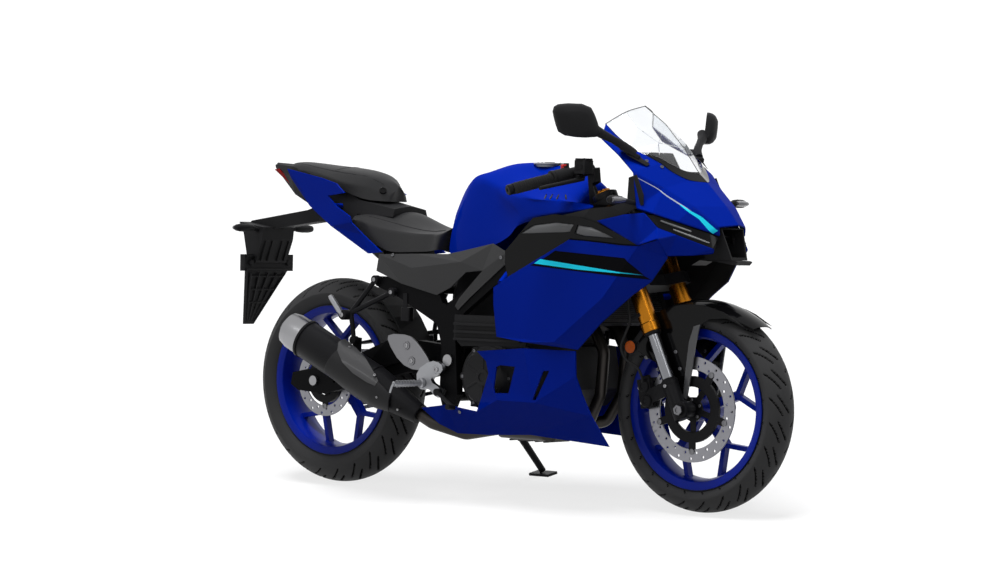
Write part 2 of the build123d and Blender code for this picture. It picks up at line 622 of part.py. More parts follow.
def main_fairing():
    """Large blue side panel, folded along its front crease."""
    panel = facet_shell(FAIRING_POINTS, FAIRING_FACETS, (0, PANEL, 0)) - cheek()
    front = peg((1085, -217, 600), (1085, -150, 600), 9, radiator())
    rear = peg((796, -210, 632), (780, -148, 668), 8, frame())
    return panel.fuse(front, rear)


def lower_cowls():
    """Blue belly panels with their air openings; the left one is cut away round the side stand."""
    sheet = facet_shell(COWL_POINTS, COWL_FACETS, (0, PANEL, 0))
    sheet -= slab([(786, 390), (800, 396), (860, 394), (834, 316), (780, 314), (776, 330)], -230, -150)
    sheet -= slab([(962, 386), (984, 388), (938, 300), (926, 302)], -230, -150)
    right = sheet.fuse(*[peg((x, -211, z), (x, -120, z), 8, crankcase()) for x, z in ((900, 410), (912, 300))])
    stand_room = slab([(440, 150), (650, 150), (616, 232), (600, 300), (440, 300)], 100, 240)
    return group(right, mirrored(right) - stand_room)


NOSE_POINTS = {
    # name: x, y, z on the right half of the upper cowl
    "mirror": (1106, -148, 1052), "wing": (1190, -178, 1006), "corner": (1254, -190, 956),
    "ridge_high": (1325, -137, 913), "ridge": (1402, -101, 862), "ridge_low": (1464, -64, 806),
    "glass_top": (1093, -112, 1096), "glass_high": (1139, -120, 1062), "glass_bend": (1196, -122, 1024),
    "glass_mid": (1243, -112, 1003), "glass": (1282, -98, 982), "glass_low": (1312, -80, 957),
    "glass_toe": (1345, -45, 936), "glass_tip": (1374, 0, 931), "crown": (1442, 0, 864), "brow": (1486, 0, 812),
    "belt_rear": (1276, -200, 855), "belt": (1324, -188, 841), "belt_mid": (1380, -147, 819),
    "belt_low": (1442, -87, 793), "belt_tip": (1465, -60, 781),
}
NOSE_FACETS = ["mirror glass_high wing", "mirror glass_top glass_high", "glass_high glass_bend wing",
               "wing glass_bend glass_mid", "wing glass_mid corner", "corner glass_mid glass",
               "corner glass ridge_high", "glass glass_low ridge_high", "glass_low glass_toe ridge_high",
               "glass_toe ridge ridge_high", "glass_toe glass_tip crown", "glass_toe crown ridge",
               "crown ridge_low ridge", "crown brow ridge_low", "corner ridge_high belt_rear",
               "belt_rear ridge_high belt", "belt ridge_high belt_mid", "belt_mid ridge_high ridge",
               "belt_mid ridge belt_low", "belt_low ridge ridge_low", "belt_low ridge_low belt_tip"]
CHEEK_POINTS = {
    # name: x, y, z on the right cheek below and behind the lamp
    "rear": (1140, -205, 817), "top": (1237, -208, 836), "lamp_rear": (1306, -203, 842), "lamp": (1345, -193, 801),
    "lamp_mid": (1388, -158, 781), "lamp_tip": (1461, -82, 744), "hem_rear": (1296, -217, 750),
    "hem": (1357, -210, 769), "hem_bend": (1368, -177, 722), "hem_low": (1417, -125, 725), "hem_tip": (1455, -78, 731),
}
CHEEK_FACETS = ["rear top hem_rear", "top lamp_rear hem_rear", "lamp_rear lamp hem_rear", "lamp hem hem_rear",
                "lamp lamp_mid hem", "hem lamp_mid hem_bend", "hem_bend lamp_mid hem_low",
                "lamp_mid lamp_tip hem_low", "hem_low lamp_tip hem_tip"]
NOSE_PUSH = (-3.5, 3.5, -3.5)


def halves(shape):
    """A right half cut at the middle plane and joined to its mirror image."""
    right = shape & Pos(0, -500, 700) * Box(4000, 1000, 2000)
    return right.fuse(mirrored(right))


def upper_cowl():
    """Nose fairing in one piece, from the mirrors down to the lamps."""
    return halves(facet_shell(NOSE_POINTS, NOSE_FACETS, NOSE_PUSH))


def cheek():
    """Blue cheek round the outer and lower edge of the right lamp."""
    return facet_shell(CHEEK_POINTS, CHEEK_FACETS, (-2, PANEL, 0))


LAMP_POINTS = {
    # name: x, y, z of the right lamp's lens, just inside the bodywork
    "rear": (1300, -192, 836), "top": (1324, -182, 835), "top_mid": (1380, -141, 813), "top_low": (1442, -82, 787),
    "tip": (1458, -60, 775), "low_tip": (1452, -78, 744), "low_mid": (1385, -150, 781), "low": (1344, -184, 800),
}
LAMP_FACETS = ["rear top low", "top top_mid low", "low top_mid low_mid", "top_mid top_low low_mid",
               "low_mid top_low low_tip", "top_low tip low_tip"]


def headlight(cowl):
    """Slit lamp between the belt line and the cheek."""
    lens = facet_shell(LAMP_POINTS, LAMP_FACETS, (-14, 8, 0)) - cowl
    return lens.fuse(peg((1340, -172, 816), (1340, -172, 880), 6, cowl))


def nose_intake(cowl):
    """Black central intake: side walls, floor and a back plate with louvres."""
    half_high, half_low = 54, 38
    outer = loft([
        Plane.XY.offset(804) * Pos(1462 - 45, 0) * Rectangle(90, 2 * half_high),
        Plane.XY.offset(714) * Pos(1490 - 45, 0) * Rectangle(90, 2 * half_low),
    ], ruled=True)
    hollow = loft([
        Plane.XY.offset(800) * Pos(1472 - 42, 0) * Rectangle(84, 2 * half_high - 10),
        Plane.XY.offset(722) * Pos(1498 - 42, 0) * Rectangle(84, 2 * half_low - 10),
    ], ruled=True)
    body = outer - hollow
    for level in (740, 760, 780):
        body += Pos(1412, 0, level) * Box(24, 2 * half_high, 4) & outer
    posts = [peg((1396, side * 46, 801), (1396, side * 46, 900), 6, cowl) for side in (-1, 1)]
    return (body - cowl).fuse(*posts)


def chin():
    """Black panel under the nose, between the two cheeks."""
    return slab([(1349, 697), (1378, 712), (1440, 708), (1500, 700), (1509, 710), (1500, 713), (1380, 716)], -36, 36)


def duct_panel():
    """Gloss black panel between tank and fairing, with two windows."""
    outline = [(800, 726), (842, 766), (900, 822), (980, 834), (1072, 826), (1132, 812), (1286, 752), (1229, 753),
               (1141, 760), (1040, 766), (905, 692), (812, 650), (800, 690)]
    panel = slab(outline, -196, -192)
    panel -= slab([(852, 776), (900, 802), (990, 812), (1052, 806), (1034, 782)], -200, -190)
    panel -= slab([(1064, 805), (1116, 800), (1200, 768), (1090, 772), (1054, 780)], -200, -190)
    return panel.fuse(peg((880, -193, 742), (880, -150, 742), 8, frame()))


def inner_trim(cowl):
    """Matt trim inside the cowl: a low band from the tank, and an upright plate behind the nose."""
    outline = [(1010, 826), (1072, 820), (1140, 810), (1226, 836), (1292, 864), (1292, 892), (1266, 948),
               (1240, 940), (1236, 876), (1180, 858), (1106, 852), (1010, 832)]
    return slab(outline, TRIM_Y - PANEL + RUN_GAP, TRIM_Y) - cowl


def air_guide(fairing):
    """Ribbed black guard between the frame and the fairing."""
    guard = slab([(612, 470), (614, 536), (770, 536), (884, 500), (884, 452), (640, 445)], -196, -190)
    for level in (462, 484, 506):
        guard += slab([(616, level), (616, level + 7), (866 - (level - 462), level + 7), (866 - (level - 462), level)], -204, -195)
    return guard.fuse(peg((870, -194, 480), (870, -225, 480), 6, fairing))


def windscreen(cowl):
    """Clear double-curved screen, 3 mm thick, let into the cowl's edge."""
    rim_names = ["glass_top", "glass_high", "glass_bend", "glass_mid", "glass", "glass_low", "glass_toe", "glass_tip"]
    points = {name: Vector(*NOSE_POINTS[name]) + Vector(-2, 0, -3) for name in rim_names}
    points["glass_tip"] = Vector(1368, 0, 928)
    points.update({"top": (1148, 0, 1149), "top_mid": (1128, -64, 1130), "spine_high": (1222, 0, 1098),
                   "spine": (1290, 0, 1028), "bow_high": (1180, -78, 1086), "bow": (1248, -66, 1042)})
    facets = ["top top_mid bow_high", "top bow_high spine_high", "top_mid glass_top bow_high",
              "glass_top glass_high bow_high", "glass_high glass_bend bow_high", "bow_high glass_bend bow",
              "bow_high bow spine_high", "spine_high bow spine", "glass_bend glass_mid bow", "glass_mid glass bow",
              "glass glass_low bow", "bow glass_low spine", "glass_low glass_toe spine", "glass_toe glass_tip spine"]
    sheet = halves(facet_shell(points, facets, (-2.2, 0.6, -2.2))) - cowl
    return sheet.solids().sort_by(SortBy.VOLUME)[-1]


def dash():
    """Instrument housing behind the screen, with its bracket."""
    housing = Pos(1205, 0, 968) * Rot(Y=58) * Box(92, 150, 30)
    root = fork_point(850, HEAD_R + RUN_GAP, 0)
    stay = bar(root, (1262, 0, 868), 40, 12).fuse(bar((1262, 0, 862), (1222, 0, 960), 40, 10, up=(1, 0, 0)))
    cross = rod((1262, TRIM_Y + RUN_GAP, 868), (1262, -TRIM_Y - RUN_GAP, 868), 7)
    return housing.fuse(stay, cross) - rod(fork_point(700, 0, 0), fork_point(900, 0, 0), HEAD_R + RUN_GAP)


def mirror_right(cowl):
    """Right mirror: angular shell on its short arm."""
    outline = [(0, -6), (34, 2), (106, 1), (126, -34), (142, -86), (84, -90), (30, -82), (8, -44)]
    plane = Plane(origin=(1102, -368, 1139), x_dir=(0.567, 0.823, 0.009), z_dir=(0.82, -0.565, -0.08))
    sketch = plane * make_face(Polyline(*outline, close=True))
    shell = extrude(sketch, 26, taper=14)
    arm = rod((1168, -256, 1072), (1206, -172, 1034), 13, 11)
    foot = bar((1196, -176, 1030), (1236, -146, 1000), 28, 18)
    return (shell.fuse(arm, foot) - cowl).solids().sort_by(SortBy.VOLUME)[-1]


def front_signal(cowl):
    """Small turn signal on a stalk beside the nose."""
    lamp = fillet((Pos(1273, -292, 876) * Box(36, 66, 24)).edges().filter_by(Axis.Y), 8)
    return lamp.fuse(peg((1273, -262, 876), (1273, -120, 872), 8, cowl.fuse(inner_trim(cowl))))


# ---------------------------------------------------------------- foot controls
def footrest_bracket():
    """Right aluminium bracket with its peg and the heel guard."""
    plate = slab([(430, 468), (352, 470), (349, 448), (400, 384), (464, 364), (517, 379), (515, 396), (470, 444)], -192, -184)
    stay = slab([(466, 366), (517, 396), (560, 388), (566, 300), (540, 292), (510, 326), (490, 312), (472, 322)],
                -192, -FRAME_OUTER - 10)
    perch = rod((490, -184, 330), (462, -288, 328), 9, 8)
    foot = rod((544, -FRAME_OUTER - 11, 372), (544, -FRAME_OUTER - RUN_GAP, 372), 11)
    foot_low = rod((552, -FRAME_OUTER - 11, 310), (552, -FRAME_OUTER - RUN_GAP, 310), 11)
    return plate.fuse(stay, perch, foot, foot_low)


def brake_pedal():
    """Rear brake pedal on the right bracket."""
    eye = rod((556, -192 - RUN_GAP, 306), (556, -206, 306), 11)
    arm = pipe([(556, -200, 306), (600, -206, 280), (634, -216, 266)], 6, 20)
    toe = rod((634, -216, 266), (634, -246, 268), 8)
    return eye.fuse(arm, toe)


def shift_lever():
    """Gear lever with its rod on the left."""
    eye = rod((556, 192 + RUN_GAP, 306), (556, 206, 306), 11)
    arm = pipe([(556, 200, 306), (600, 206, 284), (640, 214, 276)], 6, 20)
    toe = rod((640, 214, 276), (640, 244, 278), 8)
    return eye.fuse(arm, toe)


def passenger_bracket():
    """Right V-shaped tube bracket with the folded passenger peg."""
    hub = Vector(208, -200, 528)
    face = -FRAME_OUTER - RUN_GAP
    upper = rod((284, face - 9, 630), hub, 8).fuse(rod((284, face, 630), (284, face - 18, 630), 13))
    lower = rod((352, face - 9, 594), hub, 8).fuse(rod((352, face, 594), (352, face - 18, 594), 13))
    boss = rod(hub + Vector(-14, 12, -6), hub + Vector(-14, -26, -6), 15)
    perch = rod(hub + Vector(-20, -22, -4), (163, -246, 580), 8, 7)
    drop = rod(hub, (206, -182, 446), 8).fuse(rod((206, -190, 446), (206, HANGER_Y - 4 - RUN_GAP, 446), 12))
    return upper.fuse(lower, boss, perch, drop)


def brake_reservoir_rear():
    """Small square reservoir on its strap outside the right side member."""
    tank = fillet((Pos(396, -158, 530) * Box(34, 24, 40)).edges().filter_by(Axis.Z), 5)
    strap = slab([(388, 540), (404, 540), (404, 592), (388, 592)], -FRAME_OUTER - 3.3, -FRAME_OUTER - RUN_GAP)
    return tank.fuse(strap)


# ---------------------------------------------------------------- drive
def chain_belt(reach, low_y, high_y):
    """A solid belt round both sprockets, `reach` beyond their pitch circles."""
    (rear_x, rear_z), (front_x, front_z) = (0.0, REAR_TYRE_R), FRONT_SPROCKET
    span = math.hypot(front_x - rear_x, front_z - rear_z)
    slope = math.atan2(front_z - rear_z, front_x - rear_x)
    spread = math.acos((REAR_SPROCKET_R - FRONT_SPROCKET_R) / span)
    points = []
    for start, stop, x, z, radius, steps in (
        (slope + spread, slope + 2 * math.pi - spread, rear_x, rear_z, REAR_SPROCKET_R + reach, 18),
        (slope - spread, slope + spread, front_x, front_z, FRONT_SPROCKET_R + reach, 8),
    ):
        for step in range(steps + 1):
            turn = start + (stop - start) * step / steps
            points.append((x + radius * math.cos(turn), z + radius * math.sin(turn)))
    return slab(points, low_y, high_y)


def chain():
    """Roller chain as one closed loop round both sprockets."""
    low_y, high_y = SPROCKET_Y - CHAIN_T / 2, SPROCKET_Y + CHAIN_T / 2
    return chain_belt(CHAIN_H / 2, low_y, high_y) - chain_belt(-CHAIN_H / 2, low_y - 1, high_y + 1)


def chain_corridor():
    """Room that the swingarm leaves for the chain's two runs."""
    low_y, high_y = SPROCKET_Y - CHAIN_T / 2 - 3, ARM_INNER
    return chain_belt(CHAIN_H / 2 + 4, low_y, high_y) - chain_belt(-CHAIN_H / 2 - 4, low_y - 1, high_y + 1)


def front_sprocket():
    """Small sprocket on the gearbox shaft."""
    x, z = FRONT_SPROCKET
    return rod((x, SPROCKET_Y - 3, z), (x, SPROCKET_Y + 3, z), FRONT_SPROCKET_R - CHAIN_H / 2 - 1)


def rear_sprocket():
    """Rear sprocket with its carrier on the hub."""
    plate = rod((0, SPROCKET_Y - 3, REAR_TYRE_R), (0, SPROCKET_Y + 3, REAR_TYRE_R), REAR_SPROCKET_R - CHAIN_H / 2 - 1)
    hub = rod((0, 70 + RUN_GAP, REAR_TYRE_R), (0, SPROCKET_Y, REAR_TYRE_R), 58)
    bore = rod((0, 60, REAR_TYRE_R), (0, 120, REAR_TYRE_R), AXLE_R + RUN_GAP)
    return plate.fuse(hub) - bore


def chain_guard():
    """Slim guard above the chain."""
    guard = slab([(330, 470), (60, 432), (-30, 420), (-34, 426), (56, 442), (330, 482)], 80, 128)
    return guard.fuse(*[peg((x, 120, z), (x, 120, z - 120), 6, swingarm()) for x, z in ((270, 466), (60, 437))])


def hugger():
    """Low mudguard that hugs the rear tyre behind the arm's cross beam."""
    outer, inner = REAR_TYRE_R + 14, REAR_TYRE_R + 10
    start, stop = math.radians(14), math.radians(62)
    arc = []
    for radius, order in ((outer, range(7)), (inner, range(6, -1, -1))):
        for step in order:
            turn = start + (stop - start) * step / 6
            arc.append((radius * math.cos(turn), REAR_TYRE_R + radius * math.sin(turn)))
    tab = bar((300, -ARM_INNER + RUN_GAP, 402), (300, ARM_INNER - RUN_GAP, 402), 40, 4, up=(0.55, 0, 1))
    return slab(arc, -62, 62).fuse(tab) - rod((0, -200, REAR_TYRE_R), (0, 200, REAR_TYRE_R), REAR_TYRE_R + 9)


def rear_axle():
    """Rear axle with its nuts and spacers."""
    shaft = rod((0, -ARM_OUTER - 8, REAR_TYRE_R), (0, ARM_OUTER + 8, REAR_TYRE_R), AXLE_R)
    for side in (-1, 1):
        shaft += rod((0, side * (ARM_OUTER + RUN_GAP), REAR_TYRE_R), (0, side * (ARM_OUTER + 9), REAR_TYRE_R), 15)
        shaft += rod((0, side * (ARM_INNER - RUN_GAP), REAR_TYRE_R), (0, side * (92 + RUN_GAP), REAR_TYRE_R), 14)
    return shaft


def rear_caliper():
    """Rear brake caliper inside the right arm."""
    block = Pos(62, -82, 382) * Rot(Y=-48) * Box(66, 27, 34)
    bracket = slab([(30, 352), (58, 352), (90, 366), (80, 392), (50, 400)], -95.7, -90)
    slot = rod((0, REAR_DISC_Y - DISC_ROOM, REAR_TYRE_R), (0, REAR_DISC_Y + DISC_ROOM, REAR_TYRE_R), REAR_DISC_R + 5)
    ring_room = rod((0, -100, REAR_TYRE_R), (0, -60, REAR_TYRE_R), REAR_DISC_R * 0.62 + 5)
    return block.fuse(bracket) - slot - ring_room


# ---------------------------------------------------------------- steered parts
LOW_CLAMP, HIGH_CLAMP = 690.0, 930.0
TUBE_LOW, TUBE_TOP = 548.0, 975.0


def clamp(along, thick):
    """A triple clamp: a plate round the stem and both fork tubes."""
    outline = [(-30, -24), (-30, 24), (-6, FORK_HALF + 34), (FORK_OFFSET + 26, FORK_HALF + 34),
               (FORK_OFFSET + 34, FORK_HALF), (FORK_OFFSET + 6, 40), (FORK_OFFSET + 6, -40),
               (FORK_OFFSET + 34, -FORK_HALF), (FORK_OFFSET + 26, -FORK_HALF - 34), (-6, -FORK_HALF - 34)]
    plane = Plane(origin=fork_point(along, 0, 0), x_dir=AXIS_FORE, z_dir=AXIS_UP)
    plate = extrude(plane * make_face(Polyline(*outline, close=True)), thick)
    for side in (-1, 1):
        plate -= rod(fork_point(along - 5, FORK_OFFSET, side * FORK_HALF),
                     fork_point(along + thick + 5, FORK_OFFSET, side * FORK_HALF), OUTER_TUBE_R + RUN_GAP)
    return plate


def triple_clamps():
    """Steering stem with the lower and the upper clamp."""
    stem = rod(fork_point(LOW_CLAMP, 0, 0), fork_point(HIGH_CLAMP + 20, 0, 0), STEM_R)
    nut = rod(fork_point(HIGH_CLAMP + 25, 0, 0), fork_point(HIGH_CLAMP + 38, 0, 0), 18)
    return clamp(LOW_CLAMP, 34).fuse(clamp(HIGH_CLAMP, 26), stem, nut)


def outer_tubes():
    """Gold outer tubes of the upside-down fork."""
    tube = rod(fork_point(TUBE_LOW, FORK_OFFSET, -FORK_HALF), fork_point(TUBE_TOP, FORK_OFFSET, -FORK_HALF), OUTER_TUBE_R)
    tube -= rod(fork_point(TUBE_LOW - 5, FORK_OFFSET, -FORK_HALF), fork_point(TUBE_LOW + 60, FORK_OFFSET, -FORK_HALF),
                INNER_TUBE_R + RUN_GAP)
    return both(tube)


def inner_tubes():
    """Polished inner tubes."""
    return both(rod(fork_point(AXLE_S + 40, FORK_OFFSET, -FORK_HALF), fork_point(TUBE_LOW + 55, FORK_OFFSET, -FORK_HALF),
                    INNER_TUBE_R))


def axle_lugs():
    """Black lugs that clamp the inner tubes and the axle."""
    leg = rod(fork_point(AXLE_S - 22, FORK_OFFSET, -FORK_HALF), fork_point(AXLE_S + 96, FORK_OFFSET, -FORK_HALF), LUG_R)
    eye = rod(fork_point(AXLE_S, AXLE_E, -FORK_HALF - 22), fork_point(AXLE_S, AXLE_E, -FORK_HALF + 22), 24)
    lug = leg.fuse(eye)
    lug -= rod(fork_point(AXLE_S + 40 - RUN_GAP, FORK_OFFSET, -FORK_HALF), fork_point(AXLE_S + 120, FORK_OFFSET, -FORK_HALF),
               INNER_TUBE_R + RUN_GAP)
    lug -= rod(fork_point(AXLE_S, AXLE_E, -200), fork_point(AXLE_S, AXLE_E, 0), AXLE_R + RUN_GAP)
    return both(lug)


def front_axle():
    """Hollow front axle with its spacers."""
    centre = fork_point(AXLE_S, AXLE_E, 0)
    shaft = rod(centre + Vector(0, -124, 0), centre + Vector(0, 124, 0), AXLE_R)
    for side in (-1, 1):
        shaft += rod(centre + Vector(0, side * (FRONT_HUB_W / 2 + RUN_GAP), 0),
                     centre + Vector(0, side * (FORK_HALF - LUG_R - RUN_GAP), 0), 15)
        shaft += rod(centre + Vector(0, side * (FORK_HALF + LUG_R + RUN_GAP), 0), centre + Vector(0, side * 126, 0), 14)
    shaft -= rod(centre + Vector(0, -130, 0), centre + Vector(0, -90, 0), 5)
    return shaft


def front_caliper():
    """Front brake caliper behind the right fork leg, with its bracket."""
    centre = fork_point(AXLE_S, AXLE_E, 0)
    block = bar(fork_point(AXLE_S + 58, AXLE_E - 126, -63), fork_point(AXLE_S + 138, AXLE_E - 108, -63), 46, 44, up=AXIS_FORE)
    mount = bar(fork_point(AXLE_S + 78, FORK_OFFSET - 16, -94), fork_point(AXLE_S + 84, AXLE_E - 108, -80), 10, 40, up=AXIS_UP)
    slot = rod(centre + Vector(0, FRONT_DISC_Y - DISC_ROOM, 0), centre + Vector(0, FRONT_DISC_Y + DISC_ROOM, 0), FRONT_DISC_R + 5)
    legs = rod(fork_point(AXLE_S - 30, FORK_OFFSET, -FORK_HALF), fork_point(AXLE_S + 120, FORK_OFFSET, -FORK_HALF),
               LUG_R + RUN_GAP)
    return block.fuse(mount) - slot - legs


def front_fender():
    """Gloss black mudguard with its side stays, close over the front tyre."""
    inner, outer = FRONT_TYRE_R + 12, FRONT_TYRE_R + 15.5
    start, stop = math.radians(48), math.radians(128)
    arc = []
    for radius, order in ((outer, range(9)), (inner, range(8, -1, -1))):
        for step in order:
            turn = start + (stop - start) * step / 8
            arc.append((WHEELBASE + radius * math.cos(turn), FRONT_TYRE_R + radius * math.sin(turn)))
    crown = slab(arc, -FORK_HALF + OUTER_TUBE_R + 3, FORK_HALF - OUTER_TUBE_R - 3)
    side = [(1190, 452), (1200, 540), (1300, 590), (1392, 600), (1500, 582), (1572, 546), (1500, 553), (1430, 547),
            (1397, 522), (1384, 440), (1366, 322), (1352, 318), (1322, 372), (1290, 416), (1244, 424)]
    plate_out = FORK_HALF - OUTER_TUBE_R - RUN_GAP
    flank = slab(side, -plate_out, -plate_out + 3)
    return crown.fuse(flank, mirrored(flank))


def side_reflectors():
    """Round orange reflectors on stays behind the fork legs."""
    centre = Vector(1210, -122, 463)
    stay = bar(centre + Vector(4, 1, 4), (1250, -112, 518), 16, 4, up=(0, 1, 0)) - outer_tubes() - inner_tubes()
    return both(rod(centre, centre + Vector(0, -8, 0), 18.5).fuse(stay.solids().sort_by_distance(centre)[0]))


def handlebars():
    """Clip-on bars on risers above the upper clamp."""
    ring_low, ring_high = HIGH_CLAMP + 26 + RUN_GAP, TUBE_TOP
    collar = ring(fork_point(ring_low, FORK_OFFSET, -FORK_HALF), fork_point(ring_high, FORK_OFFSET, -FORK_HALF), 36,
                  OUTER_TUBE_R + RUN_GAP)
    riser = bar(fork_point(ring_low + 8, FORK_OFFSET - 38, -FORK_HALF), BAR_ROOT, 30, 24, up=(1, 0, 0))
    bar_tube = rod(BAR_ROOT, BAR_END, 11)
    tube = rod(fork_point(TUBE_LOW, FORK_OFFSET, -FORK_HALF), fork_point(TUBE_TOP + 40, FORK_OFFSET, -FORK_HALF),
               OUTER_TUBE_R + RUN_GAP)
    return both(collar.fuse(riser, bar_tube) - tube)


BAR_ROOT = Vector(1052, -112, 968)
BAR_END = Vector(946, -346, 902)


def bar_point(along):
    """A point on the right bar, 0 at its root and 1 at its end."""
    return BAR_ROOT + (BAR_END - BAR_ROOT) * along


def grips():
    """Rubber grips with their end weights."""
    grip = ring(bar_point(0.5), bar_point(1.0), 16, 11 + RUN_GAP)
    flange = ring(bar_point(0.49), bar_point(0.52), 23, 11 + RUN_GAP)
    weight = rod(bar_point(1.0012), bar_point(1.05), 14)
    return both(grip.fuse(flange, weight))


def switch_housings():
    """Switch and throttle housings inboard of the grips."""
    body = ring(bar_point(0.3), bar_point(0.485), 22, 11 + RUN_GAP)
    button = rod(bar_point(0.34) + Vector(0, 0, 18), bar_point(0.34) + Vector(0, 0, 34), 8)
    return both(body.fuse(button))


def brake_reservoir():
    """Square brake fluid reservoir on the right bar."""
    tank = fillet((Pos(1067, -176, 969) * Box(40, 42, 38)).edges().filter_by(Axis.Z), 5)
    stalk = bar(bar_point(0.14) + Vector(0, 0, 14), (1060, -168, 974), 12, 10, up=(0, 0, 1))
    holder = ring(bar_point(0.1), bar_point(0.19), 18, 11 + RUN_GAP)
    cut = rod(bar_point(0), bar_point(1), 11 + RUN_GAP)
    return tank.fuse(stalk, holder) - cut


def levers():
    """Brake and clutch levers ahead of the grips, each on its own clamp."""
    holder = ring(bar_point(0.2), bar_point(0.29), 17, 11 + RUN_GAP)
    pivot = bar_point(0.245) + Vector(34, 0, -16)
    perch = bar(bar_point(0.245) + Vector(8, 0, -8), pivot, 18, 10)
    blade = rod(pivot, bar_point(0.86) + Vector(58, 0, -6), 6.5, 5.5)
    cut = rod(bar_point(0), bar_point(1), 11 + RUN_GAP)
    return both(holder.fuse(perch, blade) - cut)


# ---------------------------------------------------------------- side stand
def ground_z(y):
    """Height of the leaning machine's floor, in the upright frame, at a distance to the left."""
    return y * math.tan(math.radians(LEAN)) - LEAN_LIFT / math.cos(math.radians(LEAN))


def side_stand():
    """Side stand: pivot eye, leg and foot plate flat on the floor."""
    pivot = Vector(*STAND_PIVOT)
    foot = Vector(STAND_FOOT_X, STAND_FOOT_Y, ground_z(STAND_FOOT_Y))
    pad = Plane(origin=foot) * Rot(X=LEAN) * Box(74, 46, 8, align=(Align.CENTER, Align.CENTER, Align.MIN))
    axis = stand_axis()
    down = (foot - pivot).normalized()
    tang = bar(pivot, pivot + down * 40, 30, 14, up=axis)
    leg = rod(pivot + down * 30, foot + Vector(0, -2, 12), 12, 10)
    eye = rod(pivot - axis * 7, pivot + axis * 7, 22)
    bore = rod(pivot - axis * 30, pivot + axis * 30, 6 + RUN_GAP)
    return leg.fuse(tang, eye, pad) - bore


def stand_axis():
    """Hinge of the stand: square to the leg, both down and folded back."""
    down = (Vector(STAND_FOOT_X, STAND_FOOT_Y, ground_z(STAND_FOOT_Y)) - Vector(*STAND_PIVOT)).normalized()
    folded = Vector(-0.98, 0.12, 0.16)
    return down.cross(folded).normalized()


def stand_bracket():
    """Forked bracket on the frame that carries the stand's pin."""
    pivot, axis = Vector(*STAND_PIVOT), stand_axis()
    pin = rod(pivot - axis * 13, pivot + axis * 13, 6)
    cheek_out = rod(pivot + axis * 7.5, pivot + axis * 13, 20)
    cheek_in = rod(pivot - axis * 13, pivot - axis * 7.5, 20)
    root = pivot - axis * 10.25
    arm = bar(root, root + Vector(24, -47, 53.5), 28, 5.5, up=axis)
    return pin.fuse(cheek_out, cheek_in, arm)


# ---------------------------------------------------------------- export


def build():
    """Every node of the machine, upright."""
    bore = AXLE_R + RUN_GAP
    right_fairing = main_fairing()
    main_frame = frame()
    cowl = upper_cowl()
    core = tail_core()
    holder = plate_holder(core)
    return {
        "frame": main_frame,
        "swingarm": swingarm(),
        "axles": group(swingarm_pivot(), rear_axle()),
        "shock": shock(),
        "engine": group(crankcase(), cylinders()),
        "engine_covers": group(clutch_cover(), generator_cover()),
        "radiator": radiator(),
        "exhaust_headers": exhaust_headers(),
        "muffler": muffler(),
        "muffler_cap": muffler_cap(),
        "muffler_shield": muffler_shield(),
        "fuel_tank": fuel_tank(),
        "filler_cap": filler_cap(),
        "rider_seat": rider_seat(),
        "pillion_seat": pillion_seat(),
        "tail_core": core,
        "tail_sides": both(tail_side(core)),
        "tail_light": tail_light(),
        "plate_holder": holder,
        "turn_signals": group(rear_signals(holder), both(front_signal(cowl))),
        "side_covers": both(side_cover() - main_frame),
        "main_fairings": both(right_fairing),
        "lower_cowls": lower_cowls(),
        "upper_cowl": cowl,
        "cheeks": both(cheek()),
        "headlights": both(headlight(cowl)),
        "nose_intake": nose_intake(cowl).fuse(chin()),
        "duct_panels": both(duct_panel()),
        "inner_trims": group(both(inner_trim(cowl)), both(air_guide(right_fairing))),
        "windscreen": windscreen(cowl),
        "dash": dash(),
        "mirrors": both(mirror_right(cowl)),
        "footrests": group(both(footrest_bracket()), both(passenger_bracket())),
        "foot_levers": group(brake_pedal(), shift_lever()),
        "chain": chain(),
        "front_sprocket": front_sprocket_on_case(),
        "rear_brake": group(rear_caliper(), brake_reservoir_rear()),
        "hugger": group(hugger(), chain_guard()),
        "rear_tyre": tyre(0, REAR_TYRE_R, REAR_TYRE_W, REAR_CROWN_R, REAR_RIM_R, REAR_RIM_W),
        "rear_rim": rim(0, REAR_TYRE_R, REAR_RIM_R, REAR_RIM_W, 46, REAR_HUB_W, bore),
        "rear_disc": disc(0, REAR_TYRE_R, REAR_DISC_Y, REAR_DISC_R, 32, 30).fuse(
            disc_carrier(0, REAR_TYRE_R, REAR_DISC_Y, -REAR_HUB_W / 2, REAR_DISC_R, bore)),
        "rear_sprocket": rear_sprocket(),
        "front_tyre": tyre(WHEELBASE, FRONT_TYRE_R, FRONT_TYRE_W, FRONT_CROWN_R, FRONT_RIM_R, FRONT_RIM_W),
        "front_rim": rim(WHEELBASE, FRONT_TYRE_R, FRONT_RIM_R, FRONT_RIM_W, 34, FRONT_HUB_W, bore),
        "front_disc": disc(WHEELBASE, FRONT_TYRE_R, FRONT_DISC_Y, FRONT_DISC_R, 37, 40).fuse(
            disc_carrier(WHEELBASE, FRONT_TYRE_R, FRONT_DISC_Y, -FRONT_HUB_W / 2, FRONT_DISC_R, bore)),
        "triple_clamps": triple_clamps(),
        "outer_tubes": outer_tubes(),
        "inner_tubes": inner_tubes(),
        "axle_lugs": group(axle_lugs(), front_axle()),
        "front_caliper": front_caliper(),
        "front_fender": front_fender(),
        "reflectors": side_reflectors(),
        "handlebars": handlebars(),
        "grips": grips(),
        "bar_controls": group(switch_housings(), brake_reservoir(), levers()),
        "side_stand": side_stand(),
    }


os.makedirs("parts", exist_ok=True)
for name, shape in build().items():
    export_step(parked(shape), f"parts/{name}.step")
